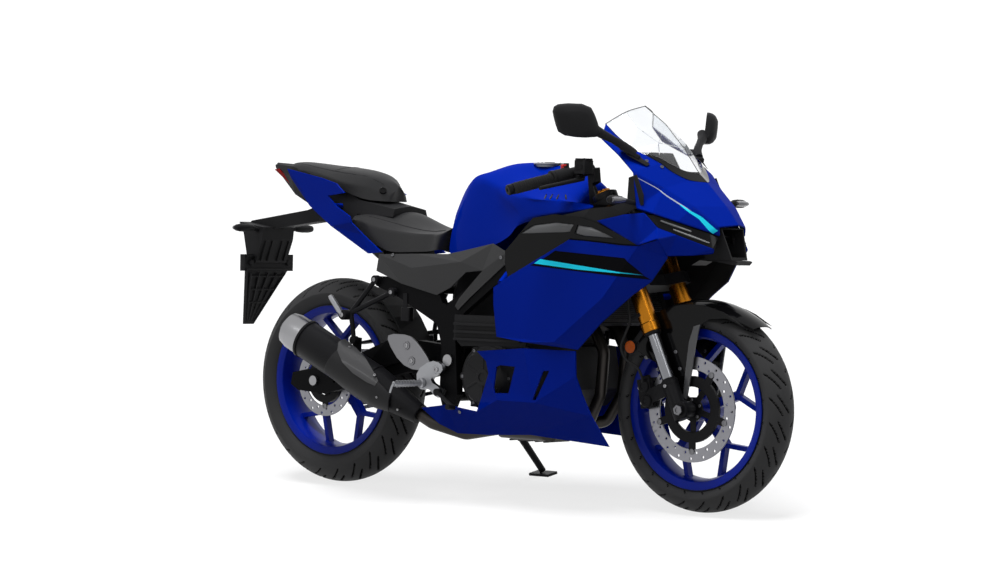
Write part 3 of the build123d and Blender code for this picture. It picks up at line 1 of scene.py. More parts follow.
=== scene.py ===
"""Looks of a sport motorcycle parked on its side stand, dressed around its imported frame.

Every piece is drawn in the upright machine's millimetres (x forward from the rear axle, y to the
rider's left, z up from the ground) and leaned onto the stand by one matrix.
"""

from __future__ import annotations

import logging
import math
from dataclasses import dataclass, field
from enum import Enum
from typing import Iterable, Sequence

import bmesh
import bpy
import numpy as np
from mathutils import Matrix, Vector
from mathutils.bvhtree import BVHTree

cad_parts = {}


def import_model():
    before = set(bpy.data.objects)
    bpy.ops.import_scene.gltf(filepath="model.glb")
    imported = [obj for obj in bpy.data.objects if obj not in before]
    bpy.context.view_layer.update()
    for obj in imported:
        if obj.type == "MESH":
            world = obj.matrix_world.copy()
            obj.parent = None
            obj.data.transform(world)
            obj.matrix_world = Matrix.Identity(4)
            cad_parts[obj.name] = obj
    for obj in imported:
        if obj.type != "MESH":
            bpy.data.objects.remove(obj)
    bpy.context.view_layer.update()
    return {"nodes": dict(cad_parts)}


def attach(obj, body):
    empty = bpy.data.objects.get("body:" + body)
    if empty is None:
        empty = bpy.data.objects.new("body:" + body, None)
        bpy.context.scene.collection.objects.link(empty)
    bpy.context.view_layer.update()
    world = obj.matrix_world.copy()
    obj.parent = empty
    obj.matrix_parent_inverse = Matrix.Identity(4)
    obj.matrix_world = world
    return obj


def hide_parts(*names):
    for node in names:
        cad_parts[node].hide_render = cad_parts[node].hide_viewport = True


LOG = logging.getLogger("motorcycle")

Pair = tuple[float, float]
Pairs = tuple[Pair, ...]
Point = tuple[float, float, float]
Colour = tuple[float, float, float]
Triple = Sequence[float]
Tree = bpy.types.NodeTree
Socket = bpy.types.NodeSocket
RIGHT, LEFT, UP = (0, -1, 0), (0, 1, 0), (0, 0, 1)


# ---------------------------------------------------------------- stance and camera
@dataclass(frozen=True)
class Stance:
    """How the machine stands on the floor: leaned to its left, with its outline centred."""

    lean_deg: float = 10.0
    crown_mm: float = 76.0
    centre_x: float = 628.0
    centre_y: float = 168.3

    @property
    def lean(self) -> float:
        """The lean in radians."""
        return math.radians(self.lean_deg)

    @property
    def lift(self) -> float:
        """How far the tyres' round crowns raise the leaned machine."""
        return self.crown_mm * (1 - math.cos(self.lean))

    def matrix(self) -> Matrix:
        """Upright millimetres to parked metres."""
        shift = Matrix.Translation((-self.centre_x, -self.centre_y, self.lift))
        return Matrix.Scale(0.001, 4) @ shift @ Matrix.Rotation(-self.lean, 4, "X")

    def place(self, point: Triple) -> Vector:
        """One upright point in parked metres."""
        return self.matrix() @ Vector(point)


@dataclass(frozen=True)
class ViewPoint:
    """The camera: it looks at a point of the upright machine and leans with it."""

    target: Point = (621.0, 0.0, 632.9)
    azimuth_deg: float = 39.64
    elevation_deg: float = 0.888
    roll_deg: float = 1.165
    distance: float = 9679.0
    lens_mm: float = 117.38
    sensor_mm: float = 36.0

    def build(self, stance: Stance) -> bpy.types.Object:
        """Makes the camera and gives it to the scene.

        Args:
            stance: The lean and shift that the machine has.

        Returns:
            The camera object.
        """
        turn, rise, roll = (math.radians(a) for a in (self.azimuth_deg, self.elevation_deg, self.roll_deg))
        back = Vector((math.sin(turn) * math.cos(rise), -math.cos(turn) * math.cos(rise), math.sin(rise)))
        right = Vector(UP).cross(back).normalized()
        up = back.cross(right)
        right, up = right * math.cos(roll) + up * math.sin(roll), up * math.cos(roll) - right * math.sin(roll)
        lean = stance.matrix().to_3x3().normalized()
        axes = Matrix((lean @ right, lean @ up, lean @ back)).transposed().to_4x4()
        place = stance.place(Vector(self.target) + back * self.distance)
        data = bpy.data.cameras.new("camera")
        data.lens, data.sensor_width = self.lens_mm, self.sensor_mm
        camera = bpy.data.objects.new("camera", data)
        camera.matrix_world = Matrix.Translation(place) @ axes
        bpy.context.collection.objects.link(camera)
        bpy.context.scene.camera = camera
        return camera


# ---------------------------------------------------------------- finishes
COAT_ROUGHNESS = 0.05
CLOUD_SCALE, CLOUD_DETAIL = 9.0, 4.0  # the slow change of a finish over its surface
ROUGHNESS_SWING, ROUGHNESS_FLOOR = 0.05, 0.02
GRAIN_HEIGHT = 0.001
MIX_FACTOR, MIX_FIRST, MIX_SECOND, MIX_RESULT = 0, 6, 7, 2  # colour sockets of a mix node


class Grain(Enum):
    """The small surface pattern of a finish: its stretch on each axis, its scale and its detail."""

    NONE = None
    ORANGE_PEEL = ((1, 1, 1), 260.0, 1.0)
    MOULDED = ((1, 1, 1), 900.0, 2.0)
    BRUSHED = ((12, 260, 260), 4.0, 4.0)
    CAST = ((1, 1, 1), 420.0, 5.0)
    RUBBER = ((1, 1, 1), 700.0, 3.0)
    COVER = ((1, 1, 1), 620.0, 0.0)


def math_node(tree: Tree, operation: str,
              *values: float | Socket) -> Socket:
    """Adds a math node over sockets or numbers.

    Args:
        tree: The tree that gets it.
        operation: What it does.
        values: A socket or a number for each of its inputs.

    Returns:
        Its result.
    """
    node = tree.nodes.new("ShaderNodeMath")
    node.operation = operation
    for socket, value in zip(node.inputs, values):
        if isinstance(value, Socket):
            tree.links.new(value, socket)
        else:
            socket.default_value = value
    return node.outputs[0]


@dataclass(frozen=True)
class Finish:
    """One finish: its colour, gloss and grain, and the frame's slot that it answers to."""

    name: str
    colour: Colour
    roughness: float = 0.4
    metallic: float = 0.0
    coat: float = 0.0
    grain: Grain = Grain.NONE
    bump: float = 0.05
    vary: float = 0.06
    transmission: float = 0.0
    gloss: float = 0.5
    slot: str = "black_plastic"

    def material(self) -> bpy.types.Material:
        """The node material of this finish, made once.

        Returns:
            The material.
        """
        name = f"finish_{self.name}"
        found = bpy.data.materials.get(name)
        if found:
            return found
        made = bpy.data.materials.new(name)
        made.use_nodes = True
        tree = made.node_tree
        shader = tree.nodes["Principled BSDF"]
        shader.inputs["Metallic"].default_value = self.metallic
        shader.inputs["Coat Weight"].default_value = self.coat
        shader.inputs["Coat Roughness"].default_value = COAT_ROUGHNESS
        shader.inputs["Specular IOR Level"].default_value = self.gloss
        shader.inputs["Transmission Weight"].default_value = self.transmission
        self._colour(tree, shader)
        self._grain(tree, shader)
        return made

    def _coordinates(self, tree: Tree, scale: Point) -> Socket:
        """Object coordinates, scaled along each axis.

        Args:
            tree: The material's tree.
            scale: The scale on each axis.

        Returns:
            The scaled place.
        """
        place = tree.nodes.new("ShaderNodeTexCoord")
        mapping = tree.nodes.new("ShaderNodeMapping")
        mapping.inputs["Scale"].default_value = scale
        tree.links.new(place.outputs["Object"], mapping.inputs["Vector"])
        return mapping.outputs["Vector"]

    def _colour(self, tree: Tree, shader: bpy.types.Node) -> None:
        """Base colour and roughness that vary a little over the surface.

        Args:
            tree: The material's tree.
            shader: Its surface shader.
        """
        noise = tree.nodes.new("ShaderNodeTexNoise")
        noise.inputs["Scale"].default_value = CLOUD_SCALE
        noise.inputs["Detail"].default_value = CLOUD_DETAIL
        tree.links.new(self._coordinates(tree, (1, 1, 1)), noise.inputs["Vector"])
        mix = tree.nodes.new("ShaderNodeMix")
        mix.data_type = "RGBA"
        dark = tuple(c * (1 - self.vary) for c in self.colour)
        light = tuple(min(1.0, c * (1 + self.vary)) for c in self.colour)
        mix.inputs[MIX_FIRST].default_value = (*dark, 1)
        mix.inputs[MIX_SECOND].default_value = (*light, 1)
        tree.links.new(noise.outputs["Fac"], mix.inputs[MIX_FACTOR])
        tree.links.new(mix.outputs[MIX_RESULT], shader.inputs["Base Color"])
        span = tree.nodes.new("ShaderNodeMapRange")
        span.inputs["To Min"].default_value = max(ROUGHNESS_FLOOR, self.roughness - ROUGHNESS_SWING)
        span.inputs["To Max"].default_value = min(1.0, self.roughness + ROUGHNESS_SWING)
        tree.links.new(noise.outputs["Fac"], span.inputs["Value"])
        tree.links.new(span.outputs["Result"], shader.inputs["Roughness"])

    def _grain(self, tree: Tree, shader: bpy.types.Node) -> None:
        """Bump for the grain.

        Args:
            tree: The material's tree.
            shader: Its surface shader.
        """
        if self.grain is Grain.NONE:
            return
        stretch, scale, detail = self.grain.value
        if self.grain is Grain.COVER:
            pattern = tree.nodes.new("ShaderNodeTexVoronoi")
            height = pattern.outputs["Distance"]
        else:
            pattern = tree.nodes.new("ShaderNodeTexNoise")
            pattern.inputs["Detail"].default_value = detail
            height = pattern.outputs["Fac"]
        pattern.inputs["Scale"].default_value = scale
        tree.links.new(self._coordinates(tree, stretch), pattern.inputs["Vector"])
        bump = tree.nodes.new("ShaderNodeBump")
        bump.inputs["Strength"].default_value = self.bump
        bump.inputs["Distance"].default_value = GRAIN_HEIGHT
        tree.links.new(height, bump.inputs["Height"])
        tree.links.new(bump.outputs["Normal"], shader.inputs["Normal"])


@dataclass(frozen=True)
class Stripe:
    """A painted band on both sides: a convex outline of (x, z) in upright millimetres."""

    outline: Pairs
    colour: Colour


def bands(points: Sequence[Pair], widths: Sequence[float], colour: Colour) -> tuple[Stripe, ...]:
    """A line of varying width as one stripe per run.

    Args:
        points: The line's (x, z) points.
        widths: Its width at each point.
        colour: Its colour.

    Returns:
        The stripes.
    """
    made = []
    for (x, z), (far_x, far_z), near, far in zip(points, points[1:], widths, widths[1:]):
        length = math.hypot(far_x - x, far_z - z)
        side_x, side_z = -(far_z - z) / length / 2, (far_x - x) / length / 2
        made.append(Stripe(((x + side_x * near, z + side_z * near), (far_x + side_x * far, far_z + side_z * far),
                            (far_x - side_x * far, far_z - side_z * far), (x - side_x * near, z - side_z * near)),
                           colour))
    return tuple(made)


@dataclass(frozen=True)
class StripedFinish(Finish):
    """A paint with stripes laid over it."""

    stripes: tuple[Stripe, ...] = ()

    def _colour(self, tree: Tree, shader: bpy.types.Node) -> None:
        """The paint's own colour with each stripe mixed over it.

        Args:
            tree: The material's tree.
            shader: Its surface shader.
        """
        super()._colour(tree, shader)
        paint = shader.inputs["Base Color"].links[0].from_socket
        stance = Stance()
        place = tree.nodes.new("ShaderNodeTexCoord")
        upright = tree.nodes.new("ShaderNodeMapping")
        upright.inputs["Scale"].default_value = (1000, 1000, 1000)
        upright.inputs["Rotation"].default_value = (stance.lean, 0, 0)
        upright.inputs["Location"].default_value = (
            Matrix.Rotation(stance.lean, 3, "X") @ Vector((stance.centre_x, stance.centre_y, -stance.lift)))
        tree.links.new(place.outputs["Object"], upright.inputs["Vector"])
        axes = tree.nodes.new("ShaderNodeSeparateXYZ")
        tree.links.new(upright.outputs["Vector"], axes.inputs["Vector"])
        for stripe in self.stripes:
            mix = tree.nodes.new("ShaderNodeMix")
            mix.data_type = "RGBA"
            tree.links.new(self._inside(tree, axes, stripe), mix.inputs[MIX_FACTOR])
            tree.links.new(paint, mix.inputs[MIX_FIRST])
            mix.inputs[MIX_SECOND].default_value = (*stripe.colour, 1)
            paint = mix.outputs[MIX_RESULT]
        tree.links.new(paint, shader.inputs["Base Color"])

    @staticmethod
    def _inside(tree: Tree, axes: bpy.types.Node, stripe: Stripe) -> Socket:
        """The share of a stripe at a place.

        Args:
            tree: The paint's tree.
            axes: The node that gives the upright x and z.
            stripe: The band.

        Returns:
            One inside the stripe's outline, nought outside it.
        """
        middle_x, middle_z = about(stripe.outline)
        result = None
        for (x, z), (far_x, far_z) in zip(stripe.outline, stripe.outline[1:] + stripe.outline[:1]):
            a, b = z - far_z, far_x - x
            c = -(a * x + b * z)
            if a * middle_x + b * middle_z + c < 0:
                a, b, c = -a, -b, -c
            along = math_node(tree, "MULTIPLY_ADD", axes.outputs["X"], a, c)
            both = math_node(tree, "MULTIPLY_ADD", axes.outputs["Z"], b, along)
            inside = math_node(tree, "GREATER_THAN", both, 0.0)
            result = inside if result is None else math_node(tree, "MULTIPLY", result, inside)
        return result


CYAN = (0.02, 0.74, 0.98)
LINE_BLACK = (0.003, 0.003, 0.004)
LINE_SILVER = (0.42, 0.47, 0.56)
BLUE = (0.0002, 0.0150, 0.29)
PANEL_BLUE = {"colour": BLUE, "roughness": 0.28, "coat": 0.05, "grain": Grain.ORANGE_PEEL, "bump": 0.02,
              "vary": 0.03, "gloss": 0.0}
BLUE_PAINT = Finish("blue_paint", slot="blue_paint", **PANEL_BLUE)
BLUE_PANEL = Finish("blue_panel", slot="blue_plastic", **PANEL_BLUE)
FAIRING_PAINT = StripedFinish("fairing_paint", slot="blue_plastic", **PANEL_BLUE, stripes=(
    Stripe(((948, 704), (994, 730), (1250, 714), (1304, 668)), LINE_BLACK),
    Stripe(((904, 686), (917, 691), (1302, 667), (1324, 655)), LINE_BLACK),
    Stripe(((920, 692), (941, 705), (1301, 668), (1083, 678)), CYAN)))
NOSE_PAINT = StripedFinish("nose_paint", slot="blue_plastic", **PANEL_BLUE, stripes=(
    *bands(((1258, 944), (1307, 913), (1340, 888), (1387, 857), (1419, 831)), (1.4, 2.0, 2.6, 3.4, 4.5),
           LINE_SILVER),
    *bands(((1372, 866), (1421, 830), (1456, 791)), (2.0, 8.0, 14.0), CYAN)))
RIM_BLUE = Finish("rim_powder_coat", (0.0004, 0.014, 0.30), 0.36, coat=0.03, grain=Grain.ORANGE_PEEL, bump=0.03,
                  vary=0.05, gloss=0.15, slot="blue_paint")
MATT_PLASTIC = Finish("matt_black_plastic", (0.0125, 0.0125, 0.0135), 0.58, grain=Grain.MOULDED, bump=0.12, vary=0.12,
                      gloss=0.12)
SIDE_PLASTIC = Finish("side_black_plastic", (0.027, 0.027, 0.028), 0.5, grain=Grain.MOULDED, bump=0.12, vary=0.12,
                      gloss=0.25, slot="black_plastic")
GLOSS_PLASTIC = Finish("gloss_black_plastic", (0.003, 0.003, 0.0035), 0.14, coat=0.15, grain=Grain.ORANGE_PEEL,
                       bump=0.01, vary=0.1, gloss=0.06, slot="black_gloss")
BLACK_METAL = Finish("black_painted_metal", (0.0065, 0.0065, 0.0075), 0.42, grain=Grain.CAST, bump=0.08, vary=0.15,
                     gloss=0.1, slot="black_metal")
# Frame, swingarm and shock: the black painted metal made darker, painted shade for parts that sit in shadow.
FRAME_SHADED_BLACK = Finish("frame_black_painted_shade", (0.0035, 0.0035, 0.004), 0.5, grain=Grain.CAST, bump=0.06, vary=0.15, gloss=0.05,
                     slot="black_metal")
GOLD = Finish("gold_anodised", (0.36, 0.135, 0.010), 0.26, 1.0, grain=Grain.BRUSHED, bump=0.05, slot="gold")
# Inner fork tubes: chrome darkened well below bright chrome, painted shade for their shaded, half-covered sides.
SHADE_DARKENED_CHROME = Finish("shade_darkened_chrome", (0.20, 0.205, 0.22), 0.18, 1.0, grain=Grain.BRUSHED, bump=0.02, slot="bright_steel")
STEEL = Finish("brushed_steel", (0.30, 0.30, 0.31), 0.32, 1.0, grain=Grain.BRUSHED, bump=0.1, slot="steel")
DARK_STEEL = Finish("dark_steel", (0.16, 0.16, 0.17), 0.36, 1.0, grain=Grain.BRUSHED, bump=0.1, slot="steel")
DISC_STEEL = Finish("disc_steel", (0.24, 0.24, 0.26), 0.36, 1.0, grain=Grain.BRUSHED, bump=0.06, slot="steel")
ALLOY = Finish("satin_alloy", (0.30, 0.305, 0.32), 0.36, 1.0, grain=Grain.CAST, bump=0.05, slot="alloy")
GUARD_ALLOY = Finish("guard_alloy", (0.20, 0.20, 0.21), 0.38, 1.0, grain=Grain.CAST, bump=0.05, slot="alloy")
CAP_ALLOY = Finish("cap_alloy", (0.13, 0.14, 0.165), 0.36, 1.0, grain=Grain.BRUSHED, bump=0.04, slot="alloy")
ENGINE_BLACK = Finish("engine_black", (0.017, 0.017, 0.018), 0.45, grain=Grain.CAST, bump=0.18, vary=0.2, gloss=0.12,
                      slot="engine_black")
TYRE_RUBBER = Finish("tyre_rubber", (0.034, 0.034, 0.035), 0.66, grain=Grain.RUBBER, bump=0.15, vary=0.12, gloss=0.25,
                     slot="tyre")
# Groove floors: the tread's own rubber painted near black, painted shade for the shade inside the grooves.
GROOVE_PAINTED_SHADE = Finish("groove_painted_shade", (0.003, 0.003, 0.003), 0.9, grain=Grain.RUBBER, bump=0.1, gloss=0.05,
                       slot="tyre")
GRIP_RUBBER = Finish("grip_rubber", (0.009, 0.009, 0.0095), 0.62, grain=Grain.RUBBER, bump=0.3, gloss=0.2,
                     slot="grip_rubber")
SEAT_COVER = Finish("seat_cover", (0.0145, 0.0145, 0.0155), 0.55, grain=Grain.COVER, bump=0.22, vary=0.1, gloss=0.3,
                    slot="seat_foam")
CLEAR = Finish("clear_screen", (0.86, 0.88, 0.90), 0.02, transmission=1.0, slot="clear")
LENS_BLACK = Finish("dark_lens", (0.003, 0.003, 0.004), 0.1, coat=0.1, gloss=0.05, slot="lamp_black")
LENS_RED = Finish("red_lens", (0.26, 0.004, 0.003), 0.16, coat=0.1, gloss=0.1, slot="lamp_red")
LENS_ORANGE = Finish("orange_lens", (0.52, 0.095, 0.006), 0.2, coat=0.05, gloss=0.1, slot="reflector")
SHIELD_GREY = Finish("shield_grey", (0.011, 0.011, 0.012), 0.42, grain=Grain.CAST, bump=0.1, gloss=0.2,
                     slot="shield_grey")
HEADER_STEEL = Finish("heat_dark_steel", (0.035, 0.032, 0.030), 0.42, 1.0, grain=Grain.BRUSHED, bump=0.1, vary=0.3,
                      slot="steel")
LEAF_GREY = Finish("leaf_grey", (0.040, 0.040, 0.042), 0.35, coat=0.2, grain=Grain.CAST, bump=0.08, gloss=0.3,
                   slot="shield_grey")
MIRROR_GLASS = Finish("mirror_glass", (0.75, 0.77, 0.80), 0.03, 1.0, slot="bright_steel")
SIGNAL_GREY = Finish("signal_lens", (0.10, 0.10, 0.11), 0.16, coat=0.5, slot="clear")
LIGHT_BAR = Finish("light_bar", (0.075, 0.08, 0.085), 0.18, coat=0.4, slot="clear")
SWITCH_RED = Finish("switch_red", (0.50, 0.012, 0.010), 0.4, grain=Grain.MOULDED, bump=0.05, slot="lamp_red")
SCREEN_BLACK = Finish("screen_band", (0.004, 0.004, 0.005), 0.12, coat=0.2, gloss=0.1, slot="black_gloss")
DUCT_GREY = Finish("duct_gloss", (0.085, 0.087, 0.092), 0.24, coat=0.3, gloss=0.3, slot="black_gloss")
FIN_GREY = Finish("fin_grey", (0.055, 0.057, 0.062), 0.4, 1.0, grain=Grain.BRUSHED, bump=0.05, slot="engine_black")
PAN_GREY = Finish("pan_grey", (0.045, 0.043, 0.040), 0.45, grain=Grain.CAST, bump=0.2, gloss=0.2, slot="engine_black")

CARRIED = {
    MATT_PLASTIC: ("tail_core", "plate_holder", "turn_signals", "nose_intake", "inner_trims", "dash",
                   "mirrors", "hugger", "bar_controls"),
    SIDE_PLASTIC: ("side_covers",),
    FRAME_SHADED_BLACK: ("frame", "swingarm", "shock"),
    BLACK_METAL: ("radiator", "muffler", "foot_levers", "rear_brake", "triple_clamps", "axle_lugs", "front_caliper",
                  "handlebars", "side_stand"),
    CAP_ALLOY: ("filler_cap",),
    ENGINE_BLACK: ("engine", "engine_covers"),
    GLOSS_PLASTIC: ("duct_panels", "front_fender"),
    BLUE_PAINT: ("fuel_tank",),
    RIM_BLUE: ("front_rim", "rear_rim"),
    BLUE_PANEL: ("tail_sides", "lower_cowls", "cheeks"),
    FAIRING_PAINT: ("main_fairings",),
    NOSE_PAINT: ("upper_cowl",),
    STEEL: ("axles", "muffler_cap"),
    DARK_STEEL: ("chain", "front_sprocket", "rear_sprocket"),
    HEADER_STEEL: ("exhaust_headers",),
    DISC_STEEL: ("front_disc", "rear_disc"),
    ALLOY: ("footrests",),
    GOLD: ("outer_tubes",),
    SHADE_DARKENED_CHROME: ("inner_tubes",),
    TYRE_RUBBER: ("front_tyre", "rear_tyre"),
    GRIP_RUBBER: ("grips",),
    SEAT_COVER: ("rider_seat", "pillion_seat"),
    CLEAR: ("windscreen",),
    LENS_BLACK: ("headlights",),
    LENS_RED: ("tail_light",),
    LENS_ORANGE: ("reflectors",),
    SHIELD_GREY: ("muffler_shield",),
}


# ---------------------------------------------------------------- workshop
def circle(centre: Vector, across: Vector, other: Vector, radius: float, sides: int) -> list[Vector]:
    """Points evenly round a circle.

    Args:
        centre: Its middle.
        across: The direction of its first point.
        other: The direction a quarter turn on.
        radius: Its radius.
        sides: How many points it gets.

    Returns:
        The points.
    """
    return [centre + (across * math.cos(turn) + other * math.sin(turn)) * radius
            for turn in (2 * math.pi * i / sides for i in range(sides))]


def on_circle(middle: Pair, reach: float, turn: float, y: float) -> Point:
    """A point round an axis that runs across the machine.

    Args:
        middle: The axis's x and z.
        reach: The distance from it.
        turn: The angle round it, upwards from the front.
        y: The place along it.

    Returns:
        The point.
    """
    return middle[0] + reach * math.cos(turn), y, middle[1] + reach * math.sin(turn)


def about(outline: Sequence[Pair]) -> Pair:
    """The mean of an outline's corners."""
    return sum(a for a, _ in outline) / len(outline), sum(b for _, b in outline) / len(outline)


def softened(outline: Sequence[Pair], times: int = 2) -> list[Pair]:
    """Cuts the corners of an outline round.

    Args:
        outline: Its corners.
        times: How often each corner is cut.

    Returns:
        The new corners.
    """
    points = list(outline)
    for _ in range(times):
        points = [(a[0] * (1 - t) + b[0] * t, a[1] * (1 - t) + b[1] * t)
                  for a, b in zip(points, points[1:] + points[:1]) for t in (0.25, 0.75)]
    return points


def smooth_path(points: Sequence[Triple], steps: int = 6) -> list[Vector]:
    """Draws a curve through points.

    Args:
        points: Where it passes.
        steps: How many steps lie between two of them.

    Returns:
        The points along the curve.
    """
    places = [Vector(point) for point in points]
    path = []
    for i in range(len(places) - 1):
        a, b = places[max(i - 1, 0)], places[i]
        c, d = places[i + 1], places[min(i + 2, len(places) - 1)]
        for step in range(steps):
            t = step / steps
            path.append(0.5 * (2 * b + (c - a) * t + (2 * a - 5 * b + 4 * c - d) * t * t
                               + (3 * b - a - 3 * c + d) * t**3))
    path.append(places[-1])
    return path


class Stock:
    """Points and faces of one piece, gathered form by form in upright millimetres."""

    POINT_R = 0.01  # the radius at which a turned form closes

    def __init__(self) -> None:
        """Starts empty."""
        self.points: list[Vector] = []
        self.faces: list[tuple[int, ...]] = []

    def add(self, points: Iterable[Triple], faces: Iterable[Sequence[int]]) -> None:
        """Adds a form with its own numbering of points.

        Args:
            points: Its points.
            faces: Its faces, as numbers of points.
        """
        base = len(self.points)
        self.points += [Vector(point) for point in points]
        self.faces += [tuple(base + index for index in face) for face in faces]

    def loft(self, rings: Sequence[Sequence[Triple]], closed: bool = True, capped: bool = True) -> None:
        """Joins rings of equally many points.

        Args:
            rings: The rings, from one end to the other.
            closed: Whether each ring comes back to its first point.
            capped: Whether the two end rings are filled.
        """
        count = len(rings[0])
        span = count if closed else count - 1
        faces: list[tuple[int, ...]] = [
            (row * count + i, row * count + (i + 1) % count, (row + 1) * count + (i + 1) % count, (row + 1) * count + i)
            for row in range(len(rings) - 1) for i in range(span)]
        if capped:
            faces += [tuple(range(count - 1, -1, -1)), tuple((len(rings) - 1) * count + i for i in range(count))]
        self.add([point for ring in rings for point in ring], faces)

    def lathe(self, profile: Sequence[Pair], start: Triple, direction: Triple,
              sides: int = 20) -> None:
        """Turns a profile of (along, radius) about an axis.

        Args:
            profile: Steps along the axis with their radii.
            start: Where the axis begins.
            direction: Where it points.
            sides: Number of flats round it.
        """
        axis = Vector(direction).normalized()
        across = axis.orthogonal().normalized()
        other = axis.cross(across)
        rings = []
        for along, radius in profile:
            centre = Vector(start) + axis * along
            rings.append(circle(centre, across, other, max(radius, self.POINT_R), sides))
        self.loft(rings)

    def tube(self, path: Sequence[Triple], radius: float, sides: int = 10) -> None:
        """A round tube along a path, its ends closed.

        Args:
            path: The points of its middle.
            radius: Its radius.
            sides: Number of flats round it.
        """
        points = [Vector(point) for point in path]
        heading = (points[1] - points[0]).normalized()
        across = heading.orthogonal().normalized()
        rings = []
        for index, point in enumerate(points):
            ahead = points[min(index + 1, len(points) - 1)] - points[max(index - 1, 0)]
            ahead.normalize()
            across = (across - ahead * across.dot(ahead)).normalized()
            other = ahead.cross(across)
            rings.append(circle(point, across, other, radius, sides))
        self.loft(rings)

    def horn(self, path: Sequence[Triple], radii: Sequence[float], sides: int = 14) -> None:
        """A round tube whose radius changes.

        Args:
            path: The points of its middle.
            radii: The radius at each point.
            sides: Number of flats round it.
        """
        first = len(self.points)
        self.tube(path, 1.0, sides)
        for row, (centre, radius) in enumerate(zip(path, radii)):
            for index in range(first + row * sides, first + (row + 1) * sides):
                self.points[index] = Vector(centre) + (self.points[index] - Vector(centre)) * radius

    def ring(self, start: Triple, direction: Triple, length: float, outer: float, inner: float,
             sides: int = 48) -> None:
        """A flat ring or short pipe with a bore.

        Args:
            start: The middle of its first face.
            direction: The way it runs.
            length: How long it is.
            outer: Its outer radius.
            inner: The radius of its bore.
            sides: Number of flats round it.
        """
        axis = Vector(direction).normalized()
        across = axis.orthogonal().normalized()
        other = axis.cross(across)
        soft = min(1.0, length * 0.2, (outer - inner) * 0.2)
        loops = ((soft, outer), (length - soft, outer), (length, outer - soft), (length, inner + soft),
                 (length - soft, inner), (soft, inner), (0, inner + soft), (0, outer - soft), (soft, outer))
        rings = []
        for along, radius in loops:
            centre = Vector(start) + axis * along
            rings.append(circle(centre, across, other, radius, sides))
        self.loft(rings, capped=False)

    def bar(self, start: Triple, end: Triple, wide: float, high: float,
            up: Triple = UP, soft: float = 1.0) -> None:
        """A rectangular bar with softened edges.

        Args:
            start: The middle of one end.
            end: The middle of the other.
            wide: Its width.
            high: Its height, towards `up`.
            up: The direction of its height.
            soft: How much its edges are cut.
        """
        begin, finish = Vector(start), Vector(end)
        along = (finish - begin).normalized()
        cross = Vector(up).cross(along).normalized()
        rise = along.cross(cross)
        half_w, half_h = wide / 2, high / 2
        loops = []
        for place, inset in ((begin, soft), (begin + along * soft, 0), (finish - along * soft, 0), (finish, soft)):
            w, h = half_w - inset, half_h - inset
            loops.append([place + cross * x + rise * z for x, z in (
                (w - soft, -h), (w, soft - h), (w, h - soft), (w - soft, h), (soft - w, h), (-w, h - soft),
                (-w, soft - h), (soft - w, -h))])
        self.loft(loops)

    def sheet(self, points: dict[str, Point], facets: Sequence[str], push: Triple,
              lift: Triple = (0, 0, 0)) -> None:
        """A folded sheet: three-cornered facets, their twins pushed inwards and the open edges closed.

        Args:
            points: The named corners.
            facets: Three names a facet.
            push: From the outer skin to the inner one.
            lift: Moves the whole sheet.
        """
        names = list(dict.fromkeys(name for facet in facets for name in facet.split()))
        index = {name: number for number, name in enumerate(names)}
        outer = [Vector(points[name]) + Vector(lift) for name in names]
        inner = [point + Vector(push) for point in outer]
        count = len(names)
        faces: list[tuple[int, ...]] = []
        sides: dict[tuple[int, int], int] = {}
        for facet in facets:
            corners = [index[name] for name in facet.split()]
            faces += [tuple(corners), tuple(corner + count for corner in reversed(corners))]
            for a, b in zip(corners, corners[1:] + corners[:1]):
                sides[(min(a, b), max(a, b))] = sides.get((min(a, b), max(a, b)), 0) + 1
        faces += [(a, b, b + count, a + count) for (a, b), uses in sides.items() if uses == 1]
        self.add(outer + inner, faces)

    def plate(self, outline: Sequence[Triple], push: Triple) -> None:
        """A flat outline of points, as thick as the push."""
        near = [Vector(point) for point in outline]
        self.loft([near, [point + Vector(push) for point in near]])

    def bolt(self, place: Triple, direction: Triple, radius: float = 5.0, height: float = 4.0) -> None:
        """A socket-headed screw.

        Args:
            place: Where it meets the part.
            direction: The way its head faces.
            radius: The radius of the head.
            height: The height of the head.
        """
        bore = radius * 0.5
        self.lathe([(-height, radius), (height * 0.7, radius), (height, radius * 0.82), (height, bore),
                    (height * 0.35, bore), (height * 0.35, 0)], place, direction, 14)

    def mirrored(self) -> None:
        """Adds the left-hand twin of everything so far."""
        self.add([(p.x, -p.y, p.z) for p in list(self.points)], [tuple(reversed(face)) for face in list(self.faces)])


class Drape:
    """Finds places on the surface of a finished form."""

    def __init__(self, stock: Stock) -> None:
        """Keeps the form's faces for searching."""
        self.tree = BVHTree.FromPolygons(stock.points, stock.faces)

    def from_right(self, x: float, z: float, lift: float = 0.0) -> tuple[Vector, Vector]:
        """Where a line from the right first meets the form, and the way it faces there."""
        return self._meet(Vector((x, -600, z)), Vector(LEFT), lift)

    def from_above(self, x: float, y: float, lift: float = 0.0) -> tuple[Vector, Vector]:
        """Where a line from above first meets the form, and the way it faces there."""
        return self._meet(Vector((x, y, 1500)), Vector((0, 0, -1)), lift)

    def _meet(self, start: Vector, heading: Vector, lift: float) -> tuple[Vector, Vector]:
        """The first meeting along a line.

        Args:
            start: Where the line begins.
            heading: Where it goes.
            lift: How far off the surface the answer stands.

        Returns:
            The place and the outward direction.
        """
        place, normal, _, _ = self.tree.ray_cast(start, heading)
        if place is None:
            raise ValueError(f"nothing is met from {tuple(start)}")
        if normal.dot(heading) > 0:
            normal = -normal
        return place + normal * lift, normal


